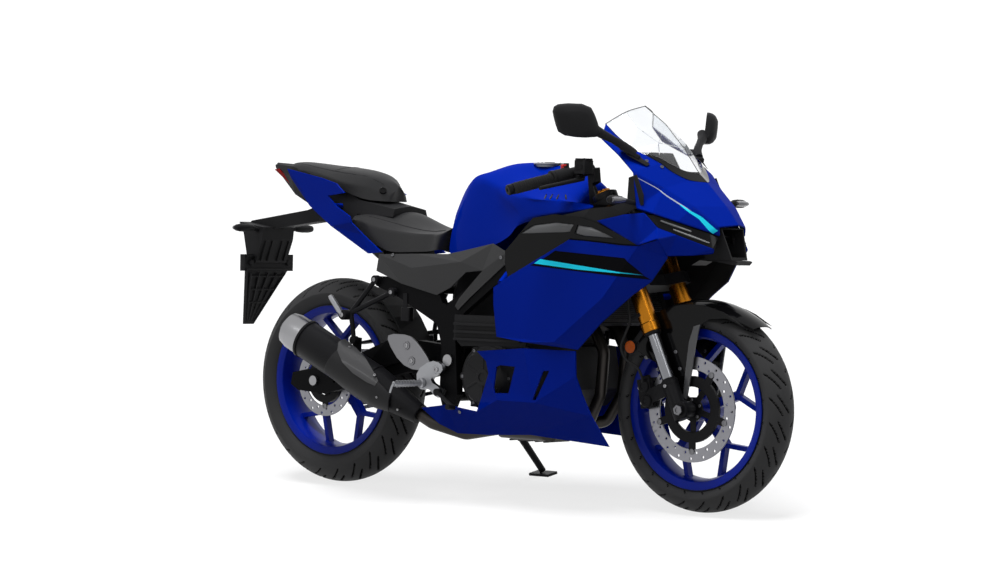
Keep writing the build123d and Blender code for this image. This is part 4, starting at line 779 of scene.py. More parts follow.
@dataclass(frozen=True)
class Workshop:
    """Turns stock into finished pieces that ride on the machine."""

    stance: Stance

    def piece(self, name: str, stock: Stock, finish: Finish, body: str = "chassis", replaces: Sequence[str] = (),
              sharp_deg: float = 32.0) -> bpy.types.Object:
        """Makes one piece.

        Args:
            name: Name of the piece.
            stock: Its points and faces.
            finish: What it is made of.
            body: The body it rides on.
            replaces: The solids that it stands for.
            sharp_deg: Folds above this angle stay crisp.

        Returns:
            The finished object.
        """
        mesh = bpy.data.meshes.new(name)
        matrix = self.stance.matrix()
        mesh.from_pydata([matrix @ point for point in stock.points], [], stock.faces)
        work = bmesh.new()
        work.from_mesh(mesh)
        bmesh.ops.recalc_face_normals(work, faces=work.faces)
        if work.calc_volume(signed=True) < 0:
            bmesh.ops.reverse_faces(work, faces=work.faces)
        work.to_mesh(mesh)
        work.free()
        mesh.polygons.foreach_set("use_smooth", [True] * len(mesh.polygons))
        mesh.set_sharp_from_angle(angle=math.radians(sharp_deg))
        made = bpy.data.objects.new(name, mesh)
        bpy.context.collection.objects.link(made)
        mesh.materials.append(finish.material())
        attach(made, body)
        if replaces:
            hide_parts(*replaces)
        LOG.info("%s: %d faces", name, len(mesh.polygons))
        return made

    def soften(self, made: bpy.types.Object, width_mm: float = 1.5, angle_deg: float = 25.0) -> None:
        """Rounds the folds of a piece.

        Args:
            made: The piece.
            width_mm: How wide the rounding is.
            angle_deg: The least fold that is rounded.
        """
        soft = made.modifiers.new("edges", "BEVEL")
        soft.width, soft.segments, soft.limit_method = width_mm / 1000, 2, "ANGLE"
        soft.angle_limit = math.radians(angle_deg)


@dataclass(frozen=True)
class Skin:
    """A smooth skin that passes through named points of the right side, sharp along its folds."""

    points: dict[str, Point]
    faces: tuple[str, ...]
    folds: tuple[str, ...] = ()
    fold: float = 0.8
    levels: int = 3
    rounds: int = 4

    def _cage(self) -> tuple[list[Vector], list[list[int]], dict[tuple[int, int], float]]:
        """Both halves' points and faces, joined at the middle, and their folds.

        Returns:
            The points, the faces and the folded edges with their sharpness.
        """
        names = list(self.points)
        points = [Vector(self.points[name]) for name in names]
        right = {name: index for index, name in enumerate(names)}
        left = dict(right)
        for name, (x, y, z) in self.points.items():
            if y:
                left[name] = len(points)
                points.append(Vector((x, -y, z)))
        faces, folds = [], {}
        for side, index in enumerate((right, left)):
            for line in self.faces:
                corners = [index[name] for name in line.split()]
                faces.append(corners[::-1] if side else corners)
            for line in self.folds:
                chain = [index[name] for name in line.split()]
                folds.update({(min(a, b), max(a, b)): self.fold for a, b in zip(chain, chain[1:])})
        return points, faces, folds

    def stock(self) -> Stock:
        """The finished skin: its cage is moved in rounds until the skin meets the points.

        Returns:
            The skin as stock.
        """
        targets, faces, folds = self._cage()
        cage = [point.copy() for point in targets]
        mesh = bpy.data.meshes.new("cage")
        mesh.from_pydata(cage, [], faces)
        crease = mesh.attributes.new("crease_edge", "FLOAT", "EDGE")
        for edge in mesh.edges:
            crease.data[edge.index].value = folds.get((min(edge.vertices), max(edge.vertices)), 0.0)
        holder = bpy.data.objects.new("cage", mesh)
        bpy.context.collection.objects.link(holder)
        smooth = holder.modifiers.new("smooth", "SUBSURF")
        smooth.levels = smooth.render_levels = 2
        for _ in range(self.rounds):
            graph = bpy.context.evaluated_depsgraph_get()
            graph.update()
            result = holder.evaluated_get(graph).data
            for index, target in enumerate(targets):
                cage[index] += target - result.vertices[index].co
                mesh.vertices[index].co = cage[index]
            mesh.update()
            holder.update_tag()
        smooth.levels = smooth.render_levels = self.levels
        graph = bpy.context.evaluated_depsgraph_get()
        graph.update()
        result = holder.evaluated_get(graph).data
        stock = Stock()
        stock.add([v.co for v in result.vertices], [tuple(face.vertices) for face in result.polygons])
        bpy.data.objects.remove(holder)
        bpy.data.meshes.remove(mesh)
        return stock


# ---------------------------------------------------------------- tank and seats
@dataclass(frozen=True)
class Tank:
    """Fuel tank: pressed crown, folded shoulders, knee recesses and the wings ahead of them."""

    points: dict[str, Point] = field(default_factory=lambda: {
        "c0": (489, 0, 867), "c1": (508, 0, 908), "c2": (556, 0, 944), "c3": (611, 0, 963), "c4": (668, 0, 980),
        "c5": (735, 0, 986), "c6": (800, 0, 985), "c6b": (860, 0, 975), "c7": (928, 0, 954), "c8": (982, 0, 926),
        "r0": (490, -40, 852), "t1": (512, -36, 902), "t2": (560, -54, 936), "t3": (611, -60, 952),
        "t4": (670, -54, 964), "t5": (735, -58, 960), "t6": (800, -62, 950), "t6b": (860, -70, 934),
        "t7": (928, -81, 912), "t8": (981, -86, 889),
        "s1": (520, -56, 880), "s2": (560, -80, 905), "s3": (598, -92, 925), "s4": (689, -110, 915),
        "s5": (774, -127, 907), "s6": (850, -150, 893), "s7": (928, -159, 880), "s8": (984, -157, 871),
        "f5": (745, -135, 875), "f6": (815, -160, 834), "w5": (792, -150, 884), "w6": (865, -172, 827),
        "w7": (996, -188, 839), "w8": (1078, -181, 851), "wt": (1098, -170, 860), "v6": (880, -170, 872),
        "v7": (964, -178, 873), "v8": (1034, -174, 869),
        "m0": (497, -72, 800), "m1": (525, -95, 792), "m2": (600, -116, 800), "m3": (690, -126, 815),
        "m4": (756, -140, 828), "h0": (500, -92, 724), "h1": (549, -116, 711), "h2": (621, -130, 724),
        "h3": (705, -139, 740), "h4": (790, -158, 774), "h5": (841, -166, 807), "u7": (990, -166, 833),
        "u8": (1066, -164, 846), "k8": (982, -86, 840), "k0": (983, 0, 840)})
    faces: tuple[str, ...] = (
        "c0 c1 t1 r0", "c1 c2 t2 t1", "c2 c3 t3 t2", "c3 c4 t4 t3", "c4 c5 t5 t4", "c5 c6 t6 t5", "c6 c6b t6b t6",
        "c6b c7 t7 t6b", "c7 c8 t8 t7", "r0 t1 s1 m0", "t1 t2 s2 s1", "t2 t3 s3 s2", "t3 t4 s4 s3", "t4 t5 s5 s4",
        "t5 t6 s6 s5", "t6 t6b s6", "t6b t7 s7 s6", "t7 t8 s8 s7", "m0 s1 s2 m1", "m1 s2 s3 m2", "m2 s3 s4 m3",
        "m3 s4 f5 m4", "m4 f5 f6 h4", "s4 s5 w5 f5", "f5 w5 w6 f6", "s5 s6 v6 w5", "w5 v6 w6", "s6 s7 v7 v6",
        "v6 v7 w7 w6", "s7 s8 v8 v7", "v7 v8 w8 w7", "v8 wt w8", "m0 m1 h1 h0", "m1 m2 h2 h1", "m2 m3 h3 h2",
        "m3 m4 h4 h3", "f6 w6 h5 h4", "h5 w6 w7 u7", "u7 w7 w8 u8", "u8 w8 wt", "u8 wt v8 s8", "t8 c8 k0 k8",
        "s8 t8 k8 u8", "u8 k8 u7")
    folds: tuple[str, ...] = ("s3 s4 s5", "s4 f5 f6", "f6 w6 w7 w8 wt", "w5 v6 v7 v8 wt", "t4 t5 t6", "s5 w5")
    slot_x: float = 899.0
    slot_pitch: float = 17.0
    filler_x: float = 800.0
    lid_z: float = 985.0

    def build(self, shop: Workshop) -> None:
        """Makes the tank's skin and what is fixed to it."""
        stock = Skin(self.points, self.faces, self.folds, fold=0.92).stock()
        shop.piece("tank_skin", stock, BLUE_PAINT, "chassis", ("fuel_tank",), 40)
        drape = Drape(stock)
        slots = Stock()
        for number in range(4):
            x = self.slot_x + number * self.slot_pitch
            high, low = drape.from_right(x, 893, -0.6)[0], drape.from_right(x + 24, 876, -0.6)[0]
            slots.horn([high, high.lerp(low, 0.15), high.lerp(low, 0.85), low], [0.6, 2.4, 2.4, 0.6], 8)
        slots.mirrored()
        shop.piece("tank_slots", slots, GLOSS_PLASTIC)
        cap = Stock()
        for number in range(6):
            turn = math.radians(number * 60 + 30)
            cap.bolt((self.filler_x + 33 * math.cos(turn), 33 * math.sin(turn), self.lid_z), UP, 2.6, 1.4)
        cap.plate([(x, y, 985.2) for x, y in softened(((784, -9), (818, -9), (818, 9), (784, 9)))], (0, 0, 2.2))
        shop.piece("cap_screws", cap, DARK_STEEL, "filler_cap")
        ring = Stock()
        ring.ring((self.filler_x, 0, 980.5), UP, 4.0, 46.5, 41.5)
        shop.piece("filler_ring", ring, ALLOY)


@dataclass(frozen=True)
class Row:
    """One section across a cushion, on its right half."""

    x: float
    crown: float
    top: Pair
    shoulder: Pair
    waist: Pair
    hem: Pair


@dataclass(frozen=True)
class Cushion:
    """A foam pad under a stretched cover, with a sewn edge along its waist."""

    name: str
    node: str
    rows: tuple[Row, ...]
    fill: float = 0.7
    seams: tuple[Pairs, ...] = ()

    def _skin(self) -> Skin:
        """The cover as a skin over its rows.

        Returns:
            The skin.
        """
        points: dict[str, Point] = {}
        faces: list[str] = []
        for number, row in enumerate(self.rows):
            points[f"c{number}"] = (row.x, 0, row.crown)
            for letter, (half, z) in zip("tswh", (row.top, row.shoulder, row.waist, row.hem)):
                points[f"{letter}{number}"] = (row.x, -half, z)
        for number in range(len(self.rows) - 1):
            for a, b in zip("ctsw", "tswh"):
                faces.append(f"{a}{number} {a}{number + 1} {b}{number + 1} {b}{number}")
        last = len(self.rows) - 1
        points["b0"] = (self.rows[0].x + 6, 0, self.rows[0].hem[1])
        points["bl"] = (self.rows[last].x - 6, 0, self.rows[last].hem[1])
        faces += ["c0 t0 s0 w0", "c0 w0 h0 b0", f"w{last} s{last} t{last} c{last}", f"bl h{last} w{last} c{last}"]
        folds = (" ".join(f"w{number}" for number in range(last + 1)),
                 " ".join(f"h{number}" for number in range(last + 1)))
        return Skin(points, tuple(faces), folds, fold=0.7)

    def build(self, shop: Workshop, finish: Finish) -> None:
        """Makes the cover and its piping, of one finish.

        Args:
            shop: Where pieces are made.
            finish: What both are made of.
        """
        stock = self._skin().stock()
        pad = shop.piece(self.name, stock, finish, "chassis", (self.node,), 50)
        drape = Drape(stock)
        seams = Stock()
        for seam in self.seams:
            seams.tube([drape.from_above(x, y, 0.2)[0] for x, y in seam], 1.1, 6)
        seams.mirrored()
        shop.piece(f"{self.name}_seams", seams, finish)


@dataclass(frozen=True)
class Seats:
    """Rider's seat and raised pillion pad."""

    rider: Cushion = Cushion("rider_cushion", "rider_seat", (
        Row(131, 828, (60, 826), (96, 822), (112, 814), (112, 805)),
        Row(160, 835, (62, 831), (100, 822), (119, 806), (121, 782)),
        Row(200, 837, (60, 832), (102, 816), (125, 796), (127, 755)),
        Row(250, 836, (54, 827), (100, 806), (127, 784), (131, 731)),
        Row(300, 829, (48, 818), (98, 794), (126, 777), (133, 715)),
        Row(360, 806, (40, 799), (92, 782), (123, 771), (134, 714)),
        Row(420, 786, (34, 784), (84, 775), (118, 768), (133, 716)),
        Row(456, 792, (28, 789), (68, 779), (109, 768), (127, 719)),
        Row(482, 804, (20, 800), (56, 788), (102, 769), (119, 723))), 0.75, (
        ((150, -96), (190, -100), (230, -99), (270, -96), (310, -92), (350, -86), (390, -80), (425, -70), (455, -56)),))
    pillion: Cushion = Cushion("pillion_cushion", "pillion_seat", (
        Row(-190, 984, (16, 983), (34, 979), (39, 968), (39, 956)),
        Row(-120, 983, (26, 981), (48, 974), (57, 958), (58, 944)),
        Row(-30, 975, (36, 971), (62, 961), (77, 945), (79, 928)),
        Row(50, 968, (40, 964), (68, 953), (88, 926), (90, 902)),
        Row(110, 960, (40, 955), (66, 944), (86, 916), (88, 882)),
        Row(150, 947, (36, 943), (58, 933), (76, 909), (80, 871)),
        Row(182, 931, (26, 926), (42, 914), (58, 896), (64, 867)),
        Row(212, 911, (8, 907), (20, 900), (32, 886), (38, 865))), 0.8, (
        ((30, 0), (30, -14), (28, -28), (24, -42), (18, -54), (8, -66)),
        ((-184, -30), (-150, -38), (-120, -46), (-80, -54), (-40, -60), (8, -66), (50, -69), (90, -68), (130, -60),
         (160, -50), (184, -36))))

    def build(self, shop: Workshop) -> None:
        """Makes both pads and the lock."""
        self.rider.build(shop, SEAT_COVER)
        self.pillion.build(shop, SEAT_COVER)
        lock = Stock()
        lock.lathe([(-8, 11), (1.0, 11), (1.8, 10), (1.8, 6.5), (0.8, 6), (0.8, 0)], (194, -50, 899), (0.62, -0.6, 0.5),
                   24)
        shop.piece("seat_lock", lock, GLOSS_PLASTIC)


# ---------------------------------------------------------------- wheels
@dataclass(frozen=True)
class Tyre:
    """A low road tyre with curved slash grooves."""

    name: str
    node: str
    body: str
    centre_x: float
    outer_r: float
    width: float
    rim_r: float
    rim_w: float
    repeats: int = 24
    turns: int = 720
    across: int = 56
    depth: float = 4.5
    wide_from: float = 130.0
    crowns: Pair = (62.0, 76.0)
    # start and end as shares of the half width, lead in pitches, width in mm
    slashes: tuple[tuple[float, float, float, float], ...] = ((0.07, 0.70, 0.0, 3.2), (0.44, 0.965, 0.5, 3.0))

    def _profile(self) -> list[Pair]:
        """(y, radius) from bead to bead.

        Returns:
            The section's points.
        """
        half, seat, bead = self.width / 2, self.rim_w / 2 - 9, self.rim_r - 14
        crown = self.crowns[self.width > self.wide_from]
        flank_r = self.outer_r - crown * 0.62
        bulge_y, bulge_r = (seat + 3 + half) / 2 + 3.5, (self.rim_r + 3 + flank_r) / 2 - 2.5
        side = self._arc((half, flank_r), (bulge_y, bulge_r), (seat + 3, self.rim_r + 3), 9)
        top = self._arc((-half, flank_r), (0, self.outer_r), (half, flank_r), self.across)
        left = [(-y, r) for y, r in reversed(side)]
        return [(-seat, bead), *left, *top[1:-1], *side, (seat, bead)]

    @staticmethod
    def _arc(start: Pair, middle: Pair, end: Pair,
             steps: int) -> list[Pair]:
        """Points along the arc through three points.

        Args:
            start: Where it begins.
            middle: A point on it.
            end: Where it ends.
            steps: Into how many steps it is cut.

        Returns:
            The points, both ends included.
        """
        (ax, ay), (bx, by), (cx, cy) = start, middle, end
        scale = 2 * (ax * (by - cy) + bx * (cy - ay) + cx * (ay - by))
        ux = ((ax**2 + ay**2) * (by - cy) + (bx**2 + by**2) * (cy - ay) + (cx**2 + cy**2) * (ay - by)) / scale
        uy = ((ax**2 + ay**2) * (cx - bx) + (bx**2 + by**2) * (ax - cx) + (cx**2 + cy**2) * (bx - ax)) / scale
        radius = math.hypot(ax - ux, ay - uy)
        first, mid, last = (math.atan2(y - uy, x - ux) for x, y in (start, middle, end))
        while mid - first > math.pi:
            mid -= 2 * math.pi
        while first - mid > math.pi:
            mid += 2 * math.pi
        while last - mid > math.pi:
            last -= 2 * math.pi
        while mid - last > math.pi:
            last += 2 * math.pi
        return [(ux + radius * math.cos(first + (last - first) * i / steps),
                 uy + radius * math.sin(first + (last - first) * i / steps)) for i in range(steps + 1)]

    def _groove(self, turn: np.ndarray, y: np.ndarray) -> np.ndarray:
        """How deep the tread is cut at each point, 0 to 1.

        Args:
            turn: Angles round the tyre.
            y: Distances from the middle, to the left.

        Returns:
            The share of the full depth.
        """
        half = self.width / 2
        share = np.abs(y) / half
        pitch = 2 * math.pi / self.repeats
        cut = np.zeros_like(turn)
        for start, stop, lead, width in self.slashes:
            phase = np.where(y > 0, 0.5, 0.0) + lead
            line = 1.25 * pitch * np.power(share, 1.4)
            offset = np.mod(turn - line - phase * pitch + pitch / 2, pitch) - pitch / 2
            reach = np.clip((share - start) / 0.05, 0, 1) * np.clip((stop - share) / 0.05, 0, 1)
            near = 1 - np.clip((np.abs(offset) * self.outer_r - width * (0.55 + 0.45 * reach)) / 1.6, 0, 1)
            cut = np.maximum(cut, near * reach)
        return cut

    def build(self, shop: Workshop) -> None:
        """Makes the tyre with its grooves cut in, their floors painted near black as painted shade."""
        profile = self._profile()
        turns = np.linspace(0, 2 * math.pi, self.turns, endpoint=False)
        y = np.array([p[0] for p in profile])
        radius = np.array([p[1] for p in profile])
        grid_turn, grid_y = np.meshgrid(turns, y, indexing="ij")
        depth = self._groove(grid_turn, grid_y) * self.depth
        depth[:, np.abs(y) > self.width / 2 * 0.99] = 0
        depth[:, radius < self.outer_r * 0.8] = 0
        reach = radius[None, :] - depth
        places = np.stack([self.centre_x + reach * np.cos(grid_turn), grid_y + 0 * reach,
                           self.outer_r + reach * np.sin(grid_turn)], axis=-1)
        stock = Stock()
        stock.loft(list(places) + [places[0]], closed=False, capped=False)
        made = shop.piece(self.name, stock, TYRE_RUBBER, self.body, (self.node,), 28)
        # Faces deep in the grooves get the near-black rubber: painted shade inside the grooves.
        made.data.materials.append(GROOVE_PAINTED_SHADE.material())
        deep = (depth[:, :-1] + depth[:, 1:]) / 2
        deep = (deep + np.roll(deep, -1, axis=0)) / 2
        made.data.polygons.foreach_set("material_index", (deep > self.depth * 0.45).astype(np.int32).ravel())


# ---------------------------------------------------------------- brakes and wheels
@dataclass(frozen=True)
class Brake:
    """Dark carrier, bobbins and bolts of a drilled disc."""

    name: str
    body: str
    centre: Pair
    face_y: float
    radius: float
    hub_y: float
    arm_end: float = 29.0
    arms: int = 5
    first_arm_deg: float = 16.0
    ring_shares: Pair = (0.632, 0.43)
    hub_radii: Pair = (34.5, 16.6)

    def _ray(self, turn: float, reach: float, y: float) -> Vector:
        """A point at an angle and reach from the wheel's middle."""
        return Vector((self.centre[0] + reach * math.cos(turn), y, self.centre[1] - reach * math.sin(turn)))

    def build(self, shop: Workshop) -> None:
        """Makes the carrier over the disc's arms, and its fasteners."""
        carrier, steel = Stock(), Stock()
        middle = (self.centre[0], self.face_y - 3.0, self.centre[1])
        depth = self.hub_y - self.face_y + 2.7
        carrier.ring(middle, LEFT, depth, *(self.radius * share for share in self.ring_shares))
        carrier.ring((self.centre[0], self.hub_y - 5.6, self.centre[1]), LEFT, 5.2, *self.hub_radii)
        for arm in range(self.arms):
            turn = math.radians(arm * 360 / self.arms + self.first_arm_deg)
            near, far = self.radius * 0.5, self.radius - self.arm_end
            carrier.bar(self._ray(turn, near, self.face_y + 0.25), self._ray(turn, far, self.face_y + 0.25), 21.6, 6.4,
                        LEFT)
            carrier.bar(self._ray(turn, 24, self.hub_y - 2.7), self._ray(turn, near, self.hub_y - 2.7), 17.6, 5.4,
                        LEFT)
            steel.lathe([(-5.2, 8.4), (4.4, 8.4), (5.0, 7.6), (5.0, 5.0), (4.0, 4.6), (4.0, 0)],
                        self._ray(turn, far - 1, self.face_y), RIGHT, 18)
            steel.bolt(self._ray(turn + 0.55, 27, self.hub_y - 5.6), RIGHT, 4.6, 3.6)
        shop.piece(f"{self.name}_carrier", carrier, BLACK_METAL, self.body)
        shop.piece(f"{self.name}_bobbins", steel, DARK_STEEL, self.body)


@dataclass(frozen=True)
class Chain:
    """Roller chain round both sprockets."""

    rear: Pair = (0.0, 314.0)
    front: Pair = (638.0, 392.0)
    rear_r: float = 88.0
    front_r: float = 34.0
    middle_y: float = 88.0
    pitch: float = 14.2

    def _point(self, share: float) -> Vector:
        """A point of the chain's loop.

        Args:
            share: The share of its length, from the rear sprocket's top.

        Returns:
            The point.
        """
        span = math.dist(self.rear, self.front)
        slope = math.atan2(self.front[1] - self.rear[1], self.front[0] - self.rear[0])
        spread = math.acos((self.rear_r - self.front_r) / span)
        run = math.sqrt(span**2 - (self.rear_r - self.front_r)**2)
        wrap_rear, wrap_front = (2 * math.pi - 2 * spread) * self.rear_r, 2 * spread * self.front_r
        at = (share % 1.0) * (wrap_rear + wrap_front + 2 * run)

        def rim(centre: Pair, radius: float, turn: float) -> Vector:
            """A point on a sprocket's pitch circle."""
            return Vector((centre[0] + radius * math.cos(turn), self.middle_y, centre[1] + radius * math.sin(turn)))

        if at < wrap_rear:
            return rim(self.rear, self.rear_r, slope + spread + at / self.rear_r)
        at -= wrap_rear
        low = slope + 2 * math.pi - spread
        if at < run:
            return rim(self.rear, self.rear_r, low).lerp(rim(self.front, self.front_r, low), at / run)
        at -= run
        if at < wrap_front:
            return rim(self.front, self.front_r, low + at / self.front_r)
        at -= wrap_front
        high = slope + spread
        return rim(self.front, self.front_r, high).lerp(rim(self.rear, self.rear_r, high), at / run)

    def build(self, shop: Workshop) -> None:
        """Makes the links and rollers."""
        span = math.dist(self.rear, self.front)
        total = 2 * span + math.pi * (self.rear_r + self.front_r) + (self.rear_r - self.front_r)**2 / span
        count = 2 * round(total / self.pitch / 2)
        links = Stock()
        for number in range(count):
            a, b = self._point(number / count), self._point((number + 1) / count)
            along = (b - a).normalized()
            rise = Vector((-along.z, 0, along.x))
            gap = 4.6 if number % 2 else 6.2
            outline = []
            for turn in range(12):
                angle = 2 * math.pi * turn / 12
                end = a if math.cos(angle) < 0 else b
                waist = 0.72 if abs(math.cos(angle)) < 0.3 else 1.0
                outline.append(end + along * (6.2 * math.cos(angle)) + rise * (6.2 * math.sin(angle) * waist))
            for side in (-1, 1):
                links.plate([point + Vector((0, side * gap, 0)) for point in outline], (0, side * 1.4, 0))
            links.lathe([(-7.4, 3.2), (7.4, 3.2)], a, LEFT, 8)
        shop.piece("chain_links", links, DARK_STEEL, "chassis", ("chain",), 30)


# ---------------------------------------------------------------- fork and controls
@dataclass(frozen=True)
class Fork:
    """Upside-down fork: caps, seals, boots, hoses, reflectors and caliper trim."""

    rake_deg: float = 25.0
    axis_x: float = 1475.0
    half: float = 97.0
    axle_s: float = 305.7
    axle_e: float = 37.7
    tube_e: float = 22.0
    reflector: Point = (1210, -122, 463)
    lug_screws: Pairs = ((1328, 453), (1344, 406), (1224, 433), (1267, 401))

    def at(self, along: float, ahead: float, side: float) -> Vector:
        """A point given from the steering axis.

        Args:
            along: How far up the axis.
            ahead: How far ahead of it.
            side: How far to the left of it.

        Returns:
            The upright point.
        """
        rake = math.radians(self.rake_deg)
        return Vector((self.axis_x, side, 0)) + Vector((-math.sin(rake), 0, math.cos(rake))) * along + Vector(
            (math.cos(rake), 0, math.sin(rake))) * ahead

    def build(self, shop: Workshop) -> None:
        """Makes everything that the fork carries beyond its solids."""
        up = self.at(1, 0, 0) - self.at(0, 0, 0)
        gold, black, steel = Stock(), Stock(), Stock()
        gold.lathe([(0, 26.2), (0, 28.2), (24, 28.2), (27, 26.2)], self.at(549, self.tube_e, -self.half), up, 32)
        gold.lathe([(0, 25), (5, 25), (8, 20), (12, 19), (12, 9), (15, 8.5), (15, 0)],
                   self.at(974.6, self.tube_e, -self.half), up, 24)
        black.lathe([(0, 19.5), (3, 24.5), (9, 25.5), (10, 18.6)], self.at(538, self.tube_e, -self.half), up, 28)
        black.lathe([(0, 23.4), (4, 24.2), (8, 23.4), (12, 24.2), (16, 22), (20, 19.0)],
                    self.at(386, self.tube_e, -self.half), up, 28)
        black.bar(self.at(self.axle_s - 4, 44, -self.half), self.at(self.axle_s + 22, 40, -self.half), 24, 12, LEFT)
        steel.bolt(self.at(self.axle_s + 4, 50, -self.half - 6), (0.9, 0, 0.4), 4.5, 4)
        steel.lathe([(0, 15), (4, 15), (5, 14), (5, 8), (2.4, 7.5), (2.4, 0)], self.at(self.axle_s, self.axle_e, -126),
                    RIGHT, 6)
        for x, z in self.lug_screws:
            steel.bolt((x, -71, z), RIGHT, 5.4, 3.4)
        for stock, name, finish in ((gold, "fork_collars", GOLD), (black, "fork_seals", BLACK_METAL),
                                    (steel, "fork_screws", DARK_STEEL)):
            stock.mirrored()
            shop.piece(name, stock, finish, "fork")
        self._reflectors(shop)
        self._caliper(shop)
        self._hoses(shop)

    def _reflectors(self, shop: Workshop) -> None:
        """Round reflectors in dark cups on slim stays."""
        cups, lenses = Stock(), Stock()
        cups.lathe([(2, 0), (2, 17), (0, 19.2), (-5, 19.4), (-8, 18.6)], self.reflector, LEFT, 36)
        cups.bar((1213, -120, 468), (1249, -113, 518), 15, 4, LEFT)
        lenses.lathe([(7.6, 17.8), (9.0, 17.2), (10.2, 13), (10.8, 0)], self.reflector, RIGHT, 36)
        middle = (self.reflector[0], self.reflector[2])
        for index in range(6):
            turn = math.radians(index * 60)
            lenses.bar(on_circle(middle, 4, turn, -132.8), on_circle(middle, 14, turn, -131.9), 1.6, 1.2,
                       LEFT, 0.2)
        cups.mirrored()
        lenses.mirrored()
        shop.piece("reflector_cups", cups, BLACK_METAL, "fork", ("reflectors",))
        shop.piece("reflector_lenses", lenses, LENS_ORANGE, "fork")

    def _caliper(self, shop: Workshop) -> None:
        """Piston bosses, bolts and bleed nipple of the front caliper."""
        trim, steel = Stock(), Stock()
        for along, ahead in ((self.axle_s + 76, self.axle_e - 121), (self.axle_s + 118, self.axle_e - 113)):
            trim.lathe([(0, 18), (5, 18), (8, 15), (8, 9), (6, 8), (6, 0)], self.at(along, ahead, -84), RIGHT, 24)
            steel.bolt(self.at(along, ahead - 16, -85), RIGHT, 4.2, 5)
        trim.bar(self.at(self.axle_s + 52, self.axle_e - 118, -74), self.at(self.axle_s + 146, self.axle_e - 104, -74),
                 30, 14,
                 LEFT, 3)
        steel.bolt(self.at(self.axle_s + 80, 20, -121), RIGHT, 5, 4)
        shop.piece("caliper_trim", trim, BLACK_METAL, "fork")
        shop.piece("caliper_screws", steel, STEEL, "fork")

    def _hoses(self, shop: Workshop) -> None:
        """Brake hose clipped to the right leg."""
        hose, clips = Stock(), Stock()
        hose.tube(smooth_path([self.at(668, 6, -126), self.at(640, -4, -131), self.at(600, -14, -132),
                               (1196, -134, 500), (1180, -132, 462), (1196, -130, 428), (1226, -118, 408),
                               self.at(self.axle_s + 138, self.axle_e - 100, -98),
                               self.at(self.axle_s + 128, self.axle_e - 112, -88)]), 4.0, 8)
        clips.bar(self.at(668, 22, -122), self.at(668, -2, -128), 12, 9, LEFT, 1.5)
        clips.bar(self.at(604, 20, -122), self.at(602, -20, -131), 12, 6, LEFT, 1.5)
        shop.piece("brake_hose", hose, GRIP_RUBBER, "fork")
        shop.piece("hose_clips", clips, BLACK_METAL, "fork")


@dataclass(frozen=True)
class Controls:
    """Grips' ribs, bar ends, reservoir lid and switches on the bars."""

    root: Point = (1052, -112, 968)
    end: Point = (946, -346, 902)

    def along(self, share: float) -> Vector:
        """A point on the right bar."""
        return Vector(self.root).lerp(Vector(self.end), share)

    def build(self, shop: Workshop) -> None:
        """Makes the bar furniture."""
        way = Vector(self.end) - Vector(self.root)
        ribs, black, red, steel = Stock(), Stock(), Stock(), Stock()
        for number in range(15):
            ribs.ring(self.along(0.55 + number * 0.028), way, 3.4, 17.0, 15.0, 24)
        black.lathe([(0, 14), (3, 15.4), (13, 15.4), (16, 13), (16, 6), (13, 5), (13, 0)], self.along(1.0), way, 24)
        ribs.mirrored()
        black.mirrored()
        black.plate([(x, y, 988.2) for x, y in softened(((1044, -200), (1090, -200), (1090, -152), (1044, -152)), 2)],
                    (0, 0, 5))
        black.bar((1067, -197.5, 962), (1067, -197.5, 976), 22, 2.4, LEFT, 0.5)
        for x, y in ((1053, -191), (1081, -191), (1053, -161), (1081, -161)):
            steel.bolt((x, y, 993), UP, 2.6, 1.2)
        red.lathe([(0, 6), (9, 6), (11, 4.6), (11, 0)], self.along(0.37) + Vector((-4, 0, 20)), UP, 16)
        red.bar(self.along(0.36) + Vector((-10, 0, 29)), self.along(0.36) + Vector((8, 0, 29)), 8, 5, UP, 1)
        shop.piece("grip_ribs", ribs, GRIP_RUBBER, "fork")
        shop.piece("bar_trim", black, BLACK_METAL, "fork")
        shop.piece("bar_screws", steel, STEEL, "fork")
        shop.piece("stop_switch", red, SWITCH_RED, "fork")


@dataclass(frozen=True)
class Mirrors:
    """Rounded shells with their glass, on tapered arms."""

    origin: Point = (1102, -368, 1139)
    across: Point = (0.567, 0.823, 0.009)
    ahead: Point = (0.82, -0.565, -0.08)
    rings: Pairs = ((0.93, 1.5), (0.95, -0.5), (0.99, -0.5), (1.0, 2), (0.99, 9), (0.95, 17), (0.84, 25),
                               (0.60, 32), (0.52, 33.5), (0.12, 34.5))

    def build(self, shop: Workshop) -> None:
        """Makes both mirrors."""
        x_way, z_way = Vector(self.across).normalized(), Vector(self.ahead).normalized()
        y_way = z_way.cross(x_way).normalized()
        outline = softened(((-2, -10), (22, 4), (106, 3), (128, -34), (145, -88), (84, -93), (22, -84), (8, -50)), 1)
        middle = about(outline)

        def loop(scale: float, out: float) -> list[Vector]:
            """The outline, scaled about its middle and pushed out of its plane."""
            return [Vector(self.origin) + x_way * (middle[0] + (x - middle[0]) * scale)
                    + y_way * (middle[1] + (y - middle[1]) * scale) + z_way * out for x, y in outline]

        shells, glass = Stock(), Stock()
        shells.loft([loop(scale, out) for scale, out in self.rings])
        shells.horn(smooth_path([(1160, -262, 1078), (1176, -240, 1062), (1192, -206, 1046), (1210, -172, 1026),
                                 (1230, -152, 1006)], 4),
                    [12 + 3 * abs(math.cos(i * 0.2)) - i * 0.15 for i in range(17)])
        shells.bar((1194, -174, 1026), (1240, -142, 996), 30, 14, UP, 3)
        glass.loft([loop(0.92, 1.2), loop(0.92, 0.2)])
        shells.mirrored()
        glass.mirrored()
        shop.piece("mirror_shells", shells, MATT_PLASTIC, "chassis", ("mirrors",), 40)
        shop.piece("mirror_glasses", glass, MIRROR_GLASS)


